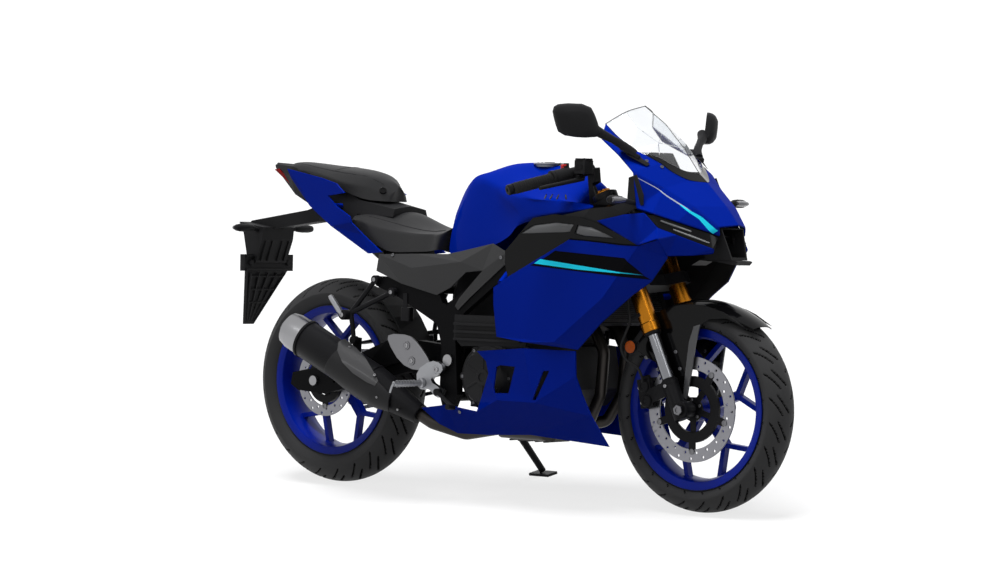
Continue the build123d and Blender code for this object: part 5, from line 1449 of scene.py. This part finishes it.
# ---------------------------------------------------------------- bodywork trim
FAIRING_POINTS = {
    "top_rear": (1041, -205, 762), "top_mid": (1141, -209, 756), "top": (1229, -212, 749),
    "top_front": (1296, -215, 748), "tip": (1367, -175, 718), "front_high": (1321, -186, 650),
    "front": (1263, -195, 611), "front_low": (1160, -205, 528), "toe": (1080, -205, 451), "vent": (896, -220, 466),
    "heel": (790, -215, 478), "rear": (776, -215, 571), "shoulder": (773, -213, 619), "slope": (821, -212, 649),
    "ridge_top": (1178, -222, 600), "ridge_low": (1007, -222, 470)}
FAIRING_FACETS = (
    "top_rear top_mid ridge_top", "top_mid top ridge_top", "top_rear ridge_top slope", "slope ridge_top ridge_low",
    "slope ridge_low rear", "slope rear shoulder", "rear ridge_low heel", "heel ridge_low vent",
    "top top_front ridge_top", "top_front front ridge_top", "top_front front_high front", "top_front tip front_high",
    "ridge_top front front_low", "ridge_top front_low ridge_low", "ridge_low front_low toe", "ridge_low toe vent")


@dataclass(frozen=True)
class Lamp:
    """Slit lamp: dark lens with two light bars, right side."""

    points: dict[str, Point] = field(default_factory=lambda: {
        "rear": (1300, -192, 836), "top": (1324, -182, 835), "top_mid": (1380, -141, 813), "top_low": (1442, -82, 787),
        "tip": (1458, -60, 775), "low_tip": (1452, -78, 744), "low_mid": (1385, -150, 781), "low": (1344, -184, 800)})
    facets: tuple[str, ...] = ("rear top low", "top top_mid low", "low top_mid low_mid", "top_mid top_low low_mid",
                               "low_mid top_low low_tip", "top_low tip low_tip")

    def build(self, shop: Workshop) -> None:
        """Makes the lens and its bars."""
        lens, bars = Stock(), Stock()
        lens.sheet(self.points, self.facets, (-14, 8, 0))
        top, low = Vector(self.points["top"]), Vector(self.points["low"])
        far_top, far_low = Vector(self.points["top_low"]), Vector(self.points["low_tip"])
        for height, near, far, thick in ((0.72, 0.10, 0.66, 3.4), (0.36, 0.30, 0.97, 3.4)):
            near_line, far_line = low.lerp(top, height), far_low.lerp(far_top, height)
            path = [near_line.lerp(far_line, share) + Vector((2.0, -4.2, 0)) for share in (near, (near + far) / 2, far)]
            bars.horn(path, [thick * 0.7, thick, thick * 0.7], 8)
        behind = Stock()
        middle = Vector((1380, -135, 790))
        behind.sheet({name: tuple(middle + (Vector(point) - middle) * 1.16) for name, point in self.points.items()},
                     self.facets, (-4, 3, 0), (-24, 16, 2))
        behind.mirrored()
        shop.piece("lamp_boxes", behind, MATT_PLASTIC, "chassis", (), 12)
        lens.mirrored()
        bars.mirrored()
        shop.piece("lamp_lenses", lens, LENS_BLACK, "chassis", ("headlights",), 12)
        shop.piece("lamp_bars", bars, LIGHT_BAR)


@dataclass(frozen=True)
class Screen:
    """Edge line and dark foot band of the windscreen."""

    edge: tuple[Point, ...] = ((1148, 0, 1149), (1129, -64, 1130), (1092, -112, 1094), (1138, -120.5, 1062),
                               (1195, -122.5, 1023))
    foot: tuple[Point, ...] = ((1238, -113.5, 1004), (1262, -106, 992), (1281, -98.5, 981), (1311, -80.5, 956),
                               (1344, -45.5, 935), (1371, 0, 930))
    inner: tuple[Point, ...] = ((1239, -112, 1006), (1262, -100, 1000), (1280, -90, 991), (1302, -68, 975),
                                (1324, -36, 960), (1338, 0, 958))

    def build(self, shop: Workshop) -> None:
        """Makes the line and the band."""
        line, band = Stock(), Stock()
        line.tube(smooth_path(self.edge[:3], 5), 1.3, 8)
        line.tube(self.edge[2:], 1.3, 8)
        outer = smooth_path(self.foot, 4)
        inner = smooth_path(self.inner, 4)
        lift = Vector((0.9, -0.3, 0.9))
        band.loft([[o + lift, i + lift, i + lift * 2.2, o + lift * 2.2] for o, i in zip(outer, inner)])
        line.mirrored()
        band.mirrored()
        shop.piece("screen_edge", line, DUCT_GREY)
        shop.piece("screen_band", band, SCREEN_BLACK)
        screws = Stock()
        for x, y, z in ((1253, -127, 988), (1289, -103, 972)):
            screws.bolt((x, y, z), (0.55, -0.4, 0.73), 5.2, 2.6)
        recess = Stock()
        way = Vector((0.45, -0.5, 0.74)).normalized()
        recess.plate([Vector(p) + way for p in ((1208, -168, 1006), (1224, -172, 999), (1266, -144, 972),
                                                 (1268, -132, 978), (1236, -142, 1000))], way * 1.6)
        recess.mirrored()
        screws.mirrored()
        shop.piece("screen_screws", screws, DARK_STEEL)
        shop.piece("mirror_seats", recess, MATT_PLASTIC)


@dataclass(frozen=True)
class Panels:
    """Linings, duct windows, cowl trim and the small fasteners of the bodywork."""

    window_rear: Pairs = ((852, 776), (900, 802), (990, 812), (1052, 806), (1034, 782))
    window_front: Pairs = ((1064, 805), (1116, 800), (1200, 768), (1090, 772), (1054, 780))
    signal_bulge: Pairs = ((0.0, 0.35), (0.04, 0.62), (0.14, 0.86), (0.4, 1.0), (0.75, 0.98),
                                      (0.93, 0.8), (1.0, 0.4))
    fins: int = 26
    fin_pitch: float = 5.8

    def build(self, shop: Workshop) -> None:
        """Makes the trim."""
        self._linings(shop)
        self._windows(shop)
        self._screws(shop)
        self._belly(shop)
        self._airbox(shop)
        self._signals(shop)
        self._plate(shop)
        self._radiator(shop)

    def _linings(self, shop: Workshop) -> None:
        """Dark linings inside the blue side panels."""
        lining = Stock()
        lining.sheet(FAIRING_POINTS, FAIRING_FACETS, (0, 1.2, 0), (0, 4.6, 0))
        lining.mirrored()
        shop.piece("fairing_linings", lining, MATT_PLASTIC, "chassis", (), 12)

    def _windows(self, shop: Workshop) -> None:
        """Glossy bulged inserts in the two openings of each duct panel."""
        inserts = Stock()
        for outline in (self.window_rear, self.window_front):
            middle = about(outline)
            loops = []
            for scale, y in ((1.05, -189.5), (1.03, -192.6), (0.8, -195.2), (0.4, -197.0), (0.05, -197.4)):
                loops.append([(middle[0] + (x - middle[0]) * scale, y, middle[1] + (z - middle[1]) * scale)
                              for x, z in outline])
            inserts.loft(loops)
        inserts.mirrored()
        backing = Stock()
        backing.plate([(x, -187.5, z) for x, z in ((838, 770), (880, 808), (1000, 826), (1110, 818), (1216, 776),
                                                   (1300, 770), (1330, 752), (1296, 744), (1140, 748), (1040, 754))],
                      (0, 1.5, 0))
        backing.plate([(x, -162, z) for x, z in ((1090, 770), (1110, 846), (1200, 848), (1296, 812), (1350, 790),
                                                 (1350, 756), (1200, 752))], (0, 1.5, 0))
        backing.mirrored()
        shop.piece("duct_backing", backing, MATT_PLASTIC)
        shop.piece("duct_inserts", inserts, DUCT_GREY, "chassis", (), 60)

    def _screws(self, shop: Workshop) -> None:
        """Panel screws."""
        screws = Stock()
        for place, way in (((627, -180, 251), (-0.05, -0.92, -0.38)), ((335, -159, 705), (0, -0.92, 0.39)),
                           ((764, -171.0, 706), RIGHT)):
            screws.bolt(place, way, 5.2, 2.4)
        screws.mirrored()
        shop.piece("panel_screws", screws, DARK_STEEL)

    def _belly(self, shop: Workshop) -> None:
        """Cast pan seen below the cowls."""
        rim = softened(((690, -76), (880, -86), (880, 86), (690, 76)), 1)
        pan = Stock()
        pan.loft([[(x, y, 186) for x, y in rim], [(780 + (x - 780) * 0.9, y * 0.88, 172) for x, y in rim]])
        for number in range(5):
            x = 720 + number * 32
            pan.bar((x, -60, 171), (x, 60, 171), 4, 5, UP, 0.8)
        shop.piece("sump_pan", pan, PAN_GREY)

    def _airbox(self, shop: Workshop) -> None:
        """Dark box behind the side covers."""
        airbox = Stock()
        outline = softened(((486, 470), (500, 640), (556, 690), (640, 722), (800, 706), (812, 610), (750, 560),
                            (660, 450), (590, 410)), 1)
        middle = (650, 580)
        airbox.loft([[(middle[0] + (x - middle[0]) * scale, y, middle[1] + (z - middle[1]) * scale)
                      for x, z in outline] for scale, y in ((0.9, -78), (1, -68), (1, 68), (0.9, 78))])
        shop.piece("airbox", airbox, MATT_PLASTIC)

    def _signals(self, shop: Workshop) -> None:
        """Bodies, stalks and grey lenses of the four turn signals."""
        bodies, lenses = Stock(), Stock()
        for middle, inner, outer, lead, root, waist in (
                ((1273, 876), -259, -325, 5, (1273, -118, 872), (1262, -190, 868)),
                ((-306, 777), -92, -176, -5, (-322, -38, 764), (-312, -70, 770))):
            for stock, shift, reach_x, reach_z in ((bodies, 0, 13.5, 12.5), (lenses, lead, 16.5, 9.0)):
                rings = [[(middle[0] + shift + reach_x * size * math.cos(t), inner + (outer - inner) * at,
                           middle[1] + reach_z * size * math.sin(t)) for t in (2 * math.pi * i / 20 for i in range(20))]
                         for at, size in self.signal_bulge]
                stock.loft(rings if stock is bodies else rings[2:6])
            bodies.horn([root, waist, (middle[0], inner - 6, middle[1])], [11, 7, 7.5], 12)
        bodies.mirrored()
        lenses.mirrored()
        shop.piece("signal_bodies", bodies, MATT_PLASTIC, "chassis", ("turn_signals",), 40)
        shop.piece("signal_lenses", lenses, SIGNAL_GREY, "chassis", (), 40)

    def _plate(self, shop: Workshop) -> None:
        """Ribs and bosses on the number plate's holder."""
        ribs = Stock()
        for half_high, half_low in ((78, 16), (40, 9), (0, 0)):
            for side in ((-1, 1) if half_high else (1,)):
                ribs.bar((-329, side * half_high, 636), (-405, side * half_low, 480), 5, 5, (1, 0, 0.4))
        for share in (0.08, 0.34, 0.6):
            half = 80 - 64 * share
            x, z = -329 - 76 * share, 638 - 160 * share
            ribs.bar((x, -half, z), (x, half, z), 5, 5, (1, 0, 0.4))
        for z, half, x in ((690, 62, -320), (648, 104, -324), (688, 104, -324)):
            ribs.bar((x, -half, z), (x, half, z), 6, 6, (1, 0, 0))
        for y in (-52, -22, 22, 52):
            ribs.bar((-314, y, 674), (-292, y, 738), 5, 8, (1, 0, 0))
        for y in (-84, 84):
            ribs.lathe([(0, 9), (6, 9), (7.5, 7.5), (7.5, 0)], (-326, y, 668), (1, 0, 0), 16)
        shop.piece("plate_ribs", ribs, MATT_PLASTIC)

    def _radiator(self, shop: Workshop) -> None:
        """Fine fins before the radiator core."""
        low, high = Vector((1108, 0, 522)), Vector((1050, 0, 668))
        way = (high - low).normalized()
        ahead = Vector((way.z, 0, -way.x))
        fins = Stock()
        for number in range(self.fins):
            place = low + way * (5 + number * self.fin_pitch) + ahead * 17.5
            fins.bar(place + Vector((0, -152, 0)), place + Vector((0, 152, 0)), 3.4, 1.8, ahead, 0.3)
        shop.piece("radiator_fins", fins, FIN_GREY)


# ---------------------------------------------------------------- exhaust and rests
@dataclass(frozen=True)
class Exhaust:
    """Silencer trim: leaf shield, clamp band, rivets and outlet."""

    tail: Point = (30, -214, 448)
    nose: Point = (318, -182, 306)
    leaf: tuple[Point, ...] = ((0.44, 62, 88), (0.5, 40, 86), (0.62, 22, 80), (0.78, 14, 66), (0.95, 14, 46),
                               (1.04, 18, 34))

    def at(self, share: float) -> Vector:
        """A point along the silencer."""
        return Vector(self.tail).lerp(Vector(self.nose), share)

    def _around(self, share: float, turn: float, wide: float, high: float) -> Vector:
        """A point round the silencer's oval section.

        Args:
            share: The place along the silencer.
            turn: The angle: nought at its right side, a quarter turn at its top.
            wide: Half the section's width.
            high: Half its height.

        Returns:
            The point.
        """
        along = (Vector(self.nose) - Vector(self.tail)).normalized()
        side = Vector(LEFT)
        side = (side - along * side.dot(along)).normalized()
        rise = along.cross(side)
        if rise.z < 0:
            rise = -rise
        return self.at(share) - side * (wide * math.cos(turn)) + rise * (high * math.sin(turn))

    def build(self, shop: Workshop) -> None:
        """Makes the trim on the silencer."""
        way = Vector(self.nose) - Vector(self.tail)
        band, leaf, rivets = Stock(), Stock(), Stock()
        for share, wide, high in ((0.035, 53.2, 59.4), (0.90, 52.6, 58.4)):
            loops = []
            for step, grow in ((-0.012, 0.0), (-0.012, 1.6), (0.012, 1.6), (0.012, 0.0)):
                loops.append([self._around(share + step, 2 * math.pi * i / 48, wide + grow, high + grow)
                              for i in range(48)])
            band.loft(loops, capped=False)
        near, far = [], []
        for share, low, high in self.leaf:
            taper = 1.0 if share < 0.9 else 1.0 - (share - 0.9) * 0.55
            for stock, grow in ((near, 10.6), (far, 12.8)):
                stock.append([self._around(share, math.radians(low + (high - low) * i / 8), (52 + grow) * taper,
                                           (58 + grow) * taper) for i in range(9)])
        leaf.loft([n + f[::-1] for n, f in zip(near, far)])
        for share, turn in ((0.98, 40), (0.56, 70)):
            place = self._around(share, math.radians(turn), 64, 70)
            rivets.bolt(place, place - self.at(share), 4.6, 3)
        for share, turn in ((1.1, -8), (1.1, -50), (1.34, -10)):
            reach = 62 - (share - 1.0) * 40
            place = self._around(share, math.radians(turn), reach - 3, reach)
            rivets.bolt(place, place - self.at(share), 3.6, 3)
        shop.piece("silencer_bands", band, BLACK_METAL)
        shop.piece("silencer_leaf", leaf, LEAF_GREY, "chassis", (), 40)
        shop.piece("silencer_rivets", rivets, STEEL)
        outlet = Stock()
        outlet.ring(self.at(-0.205), -way, 9, 27, 21.5, 32)
        shop.piece("silencer_outlet", outlet, DARK_STEEL)


@dataclass(frozen=True)
class Rests:
    """Rider's and passenger's rests, replacing their plain solids on both sides."""

    guard_bolts: Pairs = ((425, 438), (446, 393))
    arm_bolts: Pairs = ((544, 372), (552, 304))
    rail_bolts: Pairs = ((284, 630), (352, 594))
    peg_root: Point = (489, -194, 330)
    peg_tip: Point = (462, -288, 328)
    peg_way: Point = (-0.26, -0.965, 0)
    hub: Point = (208, -200, 528)
    foot: Point = (206, -190, 446)
    folded_tip: Point = (163, -246, 580)

    def _guards(self, guard: Stock, steel: Stock) -> None:
        """Adds the heel guard.

        Args:
            guard: Gets the plate.
            steel: Gets the screws.
        """
        outline = softened(((432, 470), (352, 471), (348, 448), (400, 384), (464, 363), (518, 378), (516, 397),
                            (470, 446)), 1)
        guard.plate([(x, -184.2, z) for x, z in outline], (0, -7.2, 0))
        for x, z in self.guard_bolts:
            guard.lathe([(0, 13), (2.4, 13), (3.4, 11.5), (3.4, 9.5), (1.4, 9), (1.4, 0)], (x, -191.4, z), RIGHT, 28)
            steel.bolt((x, -192.8, z), RIGHT, 6.4, 2.4)

    def _rider(self, alloy: Stock, steel: Stock) -> None:
        """Adds the rider's bracket and peg.

        Args:
            alloy: Gets the bright parts.
            steel: Gets the screws.
        """
        arm = softened(((466, 366), (520, 398), (562, 392), (570, 366), (530, 352), (520, 336), (560, 318), (572, 300),
                        (548, 286), (512, 318), (488, 308), (470, 322)), 1)
        alloy.plate([(x, -191.8, z) for x, z in arm], (0, 15.6, 0))
        for x, z in self.arm_bolts:
            alloy.lathe([(0, 14), (15, 14), (17, 12), (17, 0)], (x, -176.2, z), RIGHT, 24)
            alloy.lathe([(0, 11), (9.6, 11)], (x, -176.4, z), LEFT, 20)
            steel.bolt((x, -193.4, z), RIGHT, 8, 4)
        alloy.lathe([(0, 15), (8, 15), (10, 11)], (490, -190, 330), self.peg_way, 20)
        alloy.horn([self.peg_root, (480, -228, 329), (470, -262, 328.5), self.peg_tip], [9.4, 9, 8.6, 8.2], 12)
        for number in range(7):
            place = Vector(self.peg_root).lerp(Vector(self.peg_tip), 0.25 + number * 0.1)
            alloy.ring(place, self.peg_way, 4, 10.4, 8.4, 16)
        alloy.horn([self.peg_tip, (458, -291, 320), (452, -292, 302)], [4, 3.2, 3.2], 8)

    def _passenger(self, alloy: Stock, black: Stock, steel: Stock) -> None:
        """Adds the passenger's dark bracket and folded peg.

        Args:
            alloy: Gets the bright parts.
            black: Gets the bracket.
            steel: Gets the screws.
        """
        hub = Vector(self.hub)
        for x, z in self.rail_bolts:
            black.horn([(x, -176, z), hub], [7.2, 8], 12)
        black.horn([hub, (207, -190, 486), (206, -182, 446)], [8, 7, 7], 12)
        for x, z in self.rail_bolts:
            black.lathe([(0, 13), (17, 13), (18, 11), (18, 0)], (x, -166.4, z), RIGHT, 20)
            steel.bolt((x, -184.6, z), RIGHT, 6, 3)
        black.lathe([(0, 12), (19.6, 12)], self.foot, LEFT, 20)
        black.lathe([(0, 14), (3, 15.4), (34, 15.4), (38, 13), (38, 0)], hub + Vector((-14, 12, -6)), RIGHT, 24)
        steel.bolt(hub + Vector((-14, -26, -6)), RIGHT, 7, 3)
        root, tip = hub + Vector((-20, -20, -4)), Vector(self.folded_tip)
        alloy.horn([root, root.lerp(tip, 0.2), root.lerp(tip, 0.9), tip], [7, 9.4, 8, 5.4], 12)

    def build(self, shop: Workshop) -> None:
        """Makes heel guards, pegs and the dark passenger brackets."""
        guard, alloy, black, steel = Stock(), Stock(), Stock(), Stock()
        self._guards(guard, steel)
        self._rider(alloy, steel)
        self._passenger(alloy, black, steel)
        for stock, name, finish, nodes in ((guard, "heel_guards", GUARD_ALLOY, ("footrests",)),
                                           (alloy, "rider_rests", ALLOY, ()),
                                           (black, "passenger_brackets", BLACK_METAL, ()),
                                           (steel, "rest_screws", STEEL, ())):
            stock.mirrored()
            made = shop.piece(name, stock, finish, "chassis", nodes)
            if name == "heel_guards":
                shop.soften(made, 1.6)


@dataclass(frozen=True)
class Engine:
    """Screws, plugs and rings of the engine covers."""

    clutch: Pair = (705, 355)
    generator: Pair = (790, 350)
    cover_y: float = 158.4
    cap_y: float = 172.0
    bolts: int = 6
    clutch_r: float = 88.0
    generator_r: float = 74.0
    generator_deg: float = 20.0
    rib_span: Pair = (18, 66)
    rib_turn: float = 0.5

    def build(self, shop: Workshop) -> None:
        """Makes the fasteners and the oil filler."""
        steel, black = Stock(), Stock()
        turns = [index * 360 / self.bolts for index in range(self.bolts)]
        for turn in map(math.radians, turns):
            steel.bolt(on_circle(self.clutch, self.clutch_r, turn, -self.cover_y), RIGHT, 5, 3)
            near, far = (on_circle(self.clutch, reach, turn + self.rib_turn, -self.cap_y) for reach in self.rib_span)
            black.bar(near, far, 7, 4, LEFT, 1.2)
        black.ring((self.clutch[0], -self.cap_y, self.clutch[1]), RIGHT, 3, 24, 14)
        black.lathe([(0, 17), (8, 17), (10, 15), (10, 0)], (820, -160, 400), RIGHT, 8)
        for turn in turns:
            place = on_circle(self.generator, self.generator_r, math.radians(turn + self.generator_deg), self.cover_y)
            steel.bolt(place, LEFT, 5, 3)
        shop.piece("engine_screws", steel, DARK_STEEL)
        shop.piece("engine_ribs", black, ENGINE_BLACK)


@dataclass(frozen=True)
class Fender:
    """Curved front mudguard with its flanks, over the front tyre."""

    centre: Pair = (1380.0, 293.0)
    gap: float = 13.0
    half: float = 68.0
    wall: float = 3.0
    fall: float = 30.0
    fall_power: float = 2.4
    lip_rise: float = 16.0
    lip_deg: float = 62.0
    front_deg: float = 50.0
    rear_deg: float = 130.0
    steps: int = 24
    flank_r: float = 296.0

    def _section(self, turn: float, half: float, grow: float) -> list[Vector]:
        """One section across the mudguard.

        Args:
            turn: The angle round the wheel.
            half: Half the section's width.
            grow: How far it stands outside the inner face.

        Returns:
            Its points, from right to left.
        """
        loop = []
        for i in range(13):
            y = half * (i / 6 - 1)
            drop = self.fall * (abs(y) / self.half)**self.fall_power
            lip = self.lip_rise * max(0.0, math.radians(self.lip_deg) - turn)
            loop.append(Vector(on_circle(self.centre, self.centre[1] + self.gap + grow - drop + lip, turn, y)))
        return loop

    def build(self, shop: Workshop) -> None:
        """Makes the crown and both flanks."""
        crown = Stock()
        rings = []
        for step in range(self.steps + 1):
            turn = math.radians(self.front_deg + (self.rear_deg - self.front_deg) * step / self.steps)
            half = self.half * (0.62 + 0.38 * math.sin(math.pi / 2 * min(1.0, step / 9)))
            rings.append(self._section(turn, half, 0.0) + self._section(turn, half, self.wall)[::-1])
        crown.loft(rings)
        shop.piece("fender_crown", crown, GLOSS_PLASTIC, "fork", ("front_fender",), 45)
        flank = Stock()
        arc = [on_circle(self.centre, self.flank_r, math.radians(a), -67.6) for a in range(126, 60, -6)]
        lower = [(1560, 530), (1500, 552), (1440, 548), (1404, 528), (1390, 480), (1380, 420), (1368, 324), (1358, 314),
                 (1346, 326), (1320, 374), (1288, 412), (1246, 424), (1194, 448), (1196, 500)]
        flank.plate(arc + [(x, -67.6, z) for x, z in lower], (0, -self.wall, 0))
        edge = Stock()
        edge.plate([(1412, -68.6, 533), (1398, -68.6, 480), (1386, -68.6, 400), (1370, -68.6, 320), (1358, -68.6, 326),
                    (1364, -68.6, 400), (1374, -68.6, 482), (1390, -68.6, 528)], (0, -7.0, 0))
        flank.mirrored()
        edge.mirrored()
        made = shop.piece("fender_flanks", flank, GLOSS_PLASTIC, "fork")
        shop.soften(made, 1.2)
        made = shop.piece("fender_edges", edge, DUCT_GREY, "fork")
        shop.soften(made, 1.6)


# ---------------------------------------------------------------- studio
@dataclass(frozen=True)
class Studio:
    """A pale floor under soft lamps."""

    floor_colour: Colour = (0.22, 0.22, 0.222)
    floor_glow: float = 0.78
    world_light: float = 0.09

    def build(self) -> None:
        """Makes the floor, the lamps and the world."""
        self._floor()
        self._world()
        self._sun("key", (-0.12, 0.0, 1.0), 32.0, 4.6)
        self._sun("fill", (0.7, -1.0, 0.6), 50.0, 0.12)
        self._lamp("strip", (0.3, -2.4, 2.5), (0.3, -0.2, 0.6), (3.4, 0.22), 9.0)
        self._lamp("edge", (2.9, -0.6, 2.4), (0.9, -0.1, 0.8), (0.3, 2.2), 9.0)

    @staticmethod
    def _backdrop_rays(tree: Tree) -> Socket:
        """One for the rays that show the backdrop: camera, mirror-like and through glass.

        Args:
            tree: The tree that asks.

        Returns:
            One or nought.
        """
        path = tree.nodes.new("ShaderNodeLightPath")
        total = path.outputs["Is Camera Ray"]
        for name in ("Is Glossy Ray", "Is Transmission Ray"):
            total = math_node(tree, "MAXIMUM", total, path.outputs[name])
        return total

    def _floor(self) -> None:
        """A wide pale plane that keeps the shadow."""
        mesh = bpy.data.meshes.new("floor")
        mesh.from_pydata([(-40, -40, 0), (40, -40, 0), (40, 40, 0), (-40, 40, 0)], [], [(0, 1, 2, 3)])
        floor = bpy.data.objects.new("floor", mesh)
        bpy.context.collection.objects.link(floor)
        material = bpy.data.materials.new("floor_paint")
        material.use_nodes = True
        tree = material.node_tree
        shader = tree.nodes["Principled BSDF"]
        shader.inputs["Base Color"].default_value = (*self.floor_colour, 1)
        shader.inputs["Roughness"].default_value = 0.9
        shader.inputs["Specular IOR Level"].default_value = 0.0
        shader.inputs["Emission Color"].default_value = (1, 1, 1, 1)
        glow = math_node(tree, "MULTIPLY", self._backdrop_rays(tree), self.floor_glow)
        tree.links.new(glow, shader.inputs["Emission Strength"])
        mesh.materials.append(material)

    def _world(self) -> None:
        """White where it is seen, softer as light."""
        world = bpy.data.worlds.new("studio")
        bpy.context.scene.world = world
        world.use_nodes = True
        tree = world.node_tree
        output = tree.nodes["World Output"]
        seen = tree.nodes["Background"]
        seen.inputs["Color"].default_value = (1, 1, 1, 1)
        seen.inputs["Strength"].default_value = 1.0
        light = tree.nodes.new("ShaderNodeBackground")
        light.inputs["Color"].default_value = (0.95, 0.97, 1.0, 1)
        light.inputs["Strength"].default_value = self.world_light
        mix = tree.nodes.new("ShaderNodeMixShader")
        tree.links.new(self._backdrop_rays(tree), mix.inputs["Fac"])
        tree.links.new(light.outputs[0], mix.inputs[1])
        tree.links.new(seen.outputs[0], mix.inputs[2])
        tree.links.new(mix.outputs[0], output.inputs["Surface"])

    def _sun(self, name: str, toward: Point, width_deg: float, strength: float) -> None:
        """A wide far lamp.

        Args:
            name: Name of the lamp.
            toward: The direction in which it stands.
            width_deg: How wide it looks.
            strength: Its strength.
        """
        data = bpy.data.lights.new(name, "SUN")
        data.energy, data.angle = strength, math.radians(width_deg)
        lamp = bpy.data.objects.new(name, data)
        lamp.visible_glossy = False
        lamp.rotation_euler = Vector(toward).to_track_quat("Z", "Y").to_euler()
        bpy.context.collection.objects.link(lamp)

    def _lamp(self, name: str, place: Point, aim: Point, size: Pair, power: float) -> None:
        """A soft rectangular lamp.

        Args:
            name: Name of the lamp.
            place: Where it hangs, in metres.
            aim: The point it faces.
            size: Its width and height.
            power: Its power in watts.
        """
        data = bpy.data.lights.new(name, "AREA")
        data.shape, data.size, data.size_y, data.energy = "RECTANGLE", *size, power
        lamp = bpy.data.objects.new(name, data)
        lamp.location = place
        lamp.rotation_euler = (Vector(place) - Vector(aim)).to_track_quat("Z", "Y").to_euler()
        bpy.context.collection.objects.link(lamp)


# ---------------------------------------------------------------- carried-over frame
BODYWORK = ("tail_sides", "main_fairings", "lower_cowls", "upper_cowl", "cheeks", "side_covers", "front_fender",
            "duct_panels", "mirrors", "tail_core", "fuel_tank")


WELD_REACH = 0.00002
PANEL_EDGE, PART_EDGE = (0.0045, 7), (0.0012, 30)  # bevel width in metres, least fold in degrees
SHADE_WEIGHT = 60


def smooth_group() -> Tree:
    """Makes a modifier's node group that shades a mesh smooth.

    Returns:
        The group.
    """
    group = bpy.data.node_groups.new("smooth_shading", "GeometryNodeTree")
    for way in ("INPUT", "OUTPUT"):
        group.interface.new_socket("Geometry", in_out=way, socket_type="NodeSocketGeometry")
    source, smooth, out = (group.nodes.new(kind) for kind in (
        "NodeGroupInput", "GeometryNodeSetShadeSmooth", "NodeGroupOutput"))
    group.links.new(source.outputs[0], smooth.inputs[0])
    group.links.new(smooth.outputs[0], out.inputs[0])
    return group


def dress_frame(frame: dict) -> None:
    """Gives each frame node its finish and softened edges.
    """
    smooth = smooth_group()
    for finish, names in CARRIED.items():
        for name in names:
            node = frame["nodes"][name]
            node.data.materials.clear()
            node.data.materials.append(finish.material())
            panel = name in BODYWORK
            weld = node.modifiers.new("weld", "WELD")
            weld.merge_threshold = WELD_REACH
            soften = node.modifiers.new("edges", "BEVEL")
            width, least_deg = PANEL_EDGE if panel else PART_EDGE
            soften.width, soften.segments, soften.limit_method = width, 2, "ANGLE"
            soften.angle_limit = math.radians(least_deg)
            soften.harden_normals = False
            if panel:
                node.modifiers.new("smooth", "NODES").node_group = smooth
                shade = node.modifiers.new("shade", "WEIGHTED_NORMAL")
                shade.keep_sharp, shade.weight = False, SHADE_WEIGHT


def main() -> None:
    """Builds the studio and the machine, piece by piece."""
    logging.basicConfig(level=logging.INFO, format="%(name)s: %(message)s")
    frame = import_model()
    bpy.context.scene.view_settings.view_transform = "Standard"
    stance = Stance()
    ViewPoint().build(stance)
    Studio().build()
    dress_frame(frame)
    shop = Workshop(stance)
    Tank().build(shop)
    Seats().build(shop)
    Tyre("front_tread", "front_tyre", "front_wheel", 1380.0, 293.0, 112.0, 228.0, 92.0).build(shop)
    Tyre("rear_tread", "rear_tyre", "rear_wheel", 0.0, 314.0, 142.0, 229.0, 116.0).build(shop)
    Brake("front_brake", "front_wheel", (1380.0, 293.0), -60.0, 149.0, -52.0).build(shop)
    Brake("rear_brake_disc", "rear_wheel", (0.0, 314.0), -82.0, 110.0, -70.0).build(shop)
    for part in (Chain(), Fork(), Controls(), Mirrors(), Lamp(), Screen(), Panels(), Exhaust(), Rests(), Engine(),
                 Fender()):
        part.build(shop)
    LOG.info("dressed %d nodes", sum(len(names) for names in CARRIED.values()))


if __name__ == "__main__":
    main()
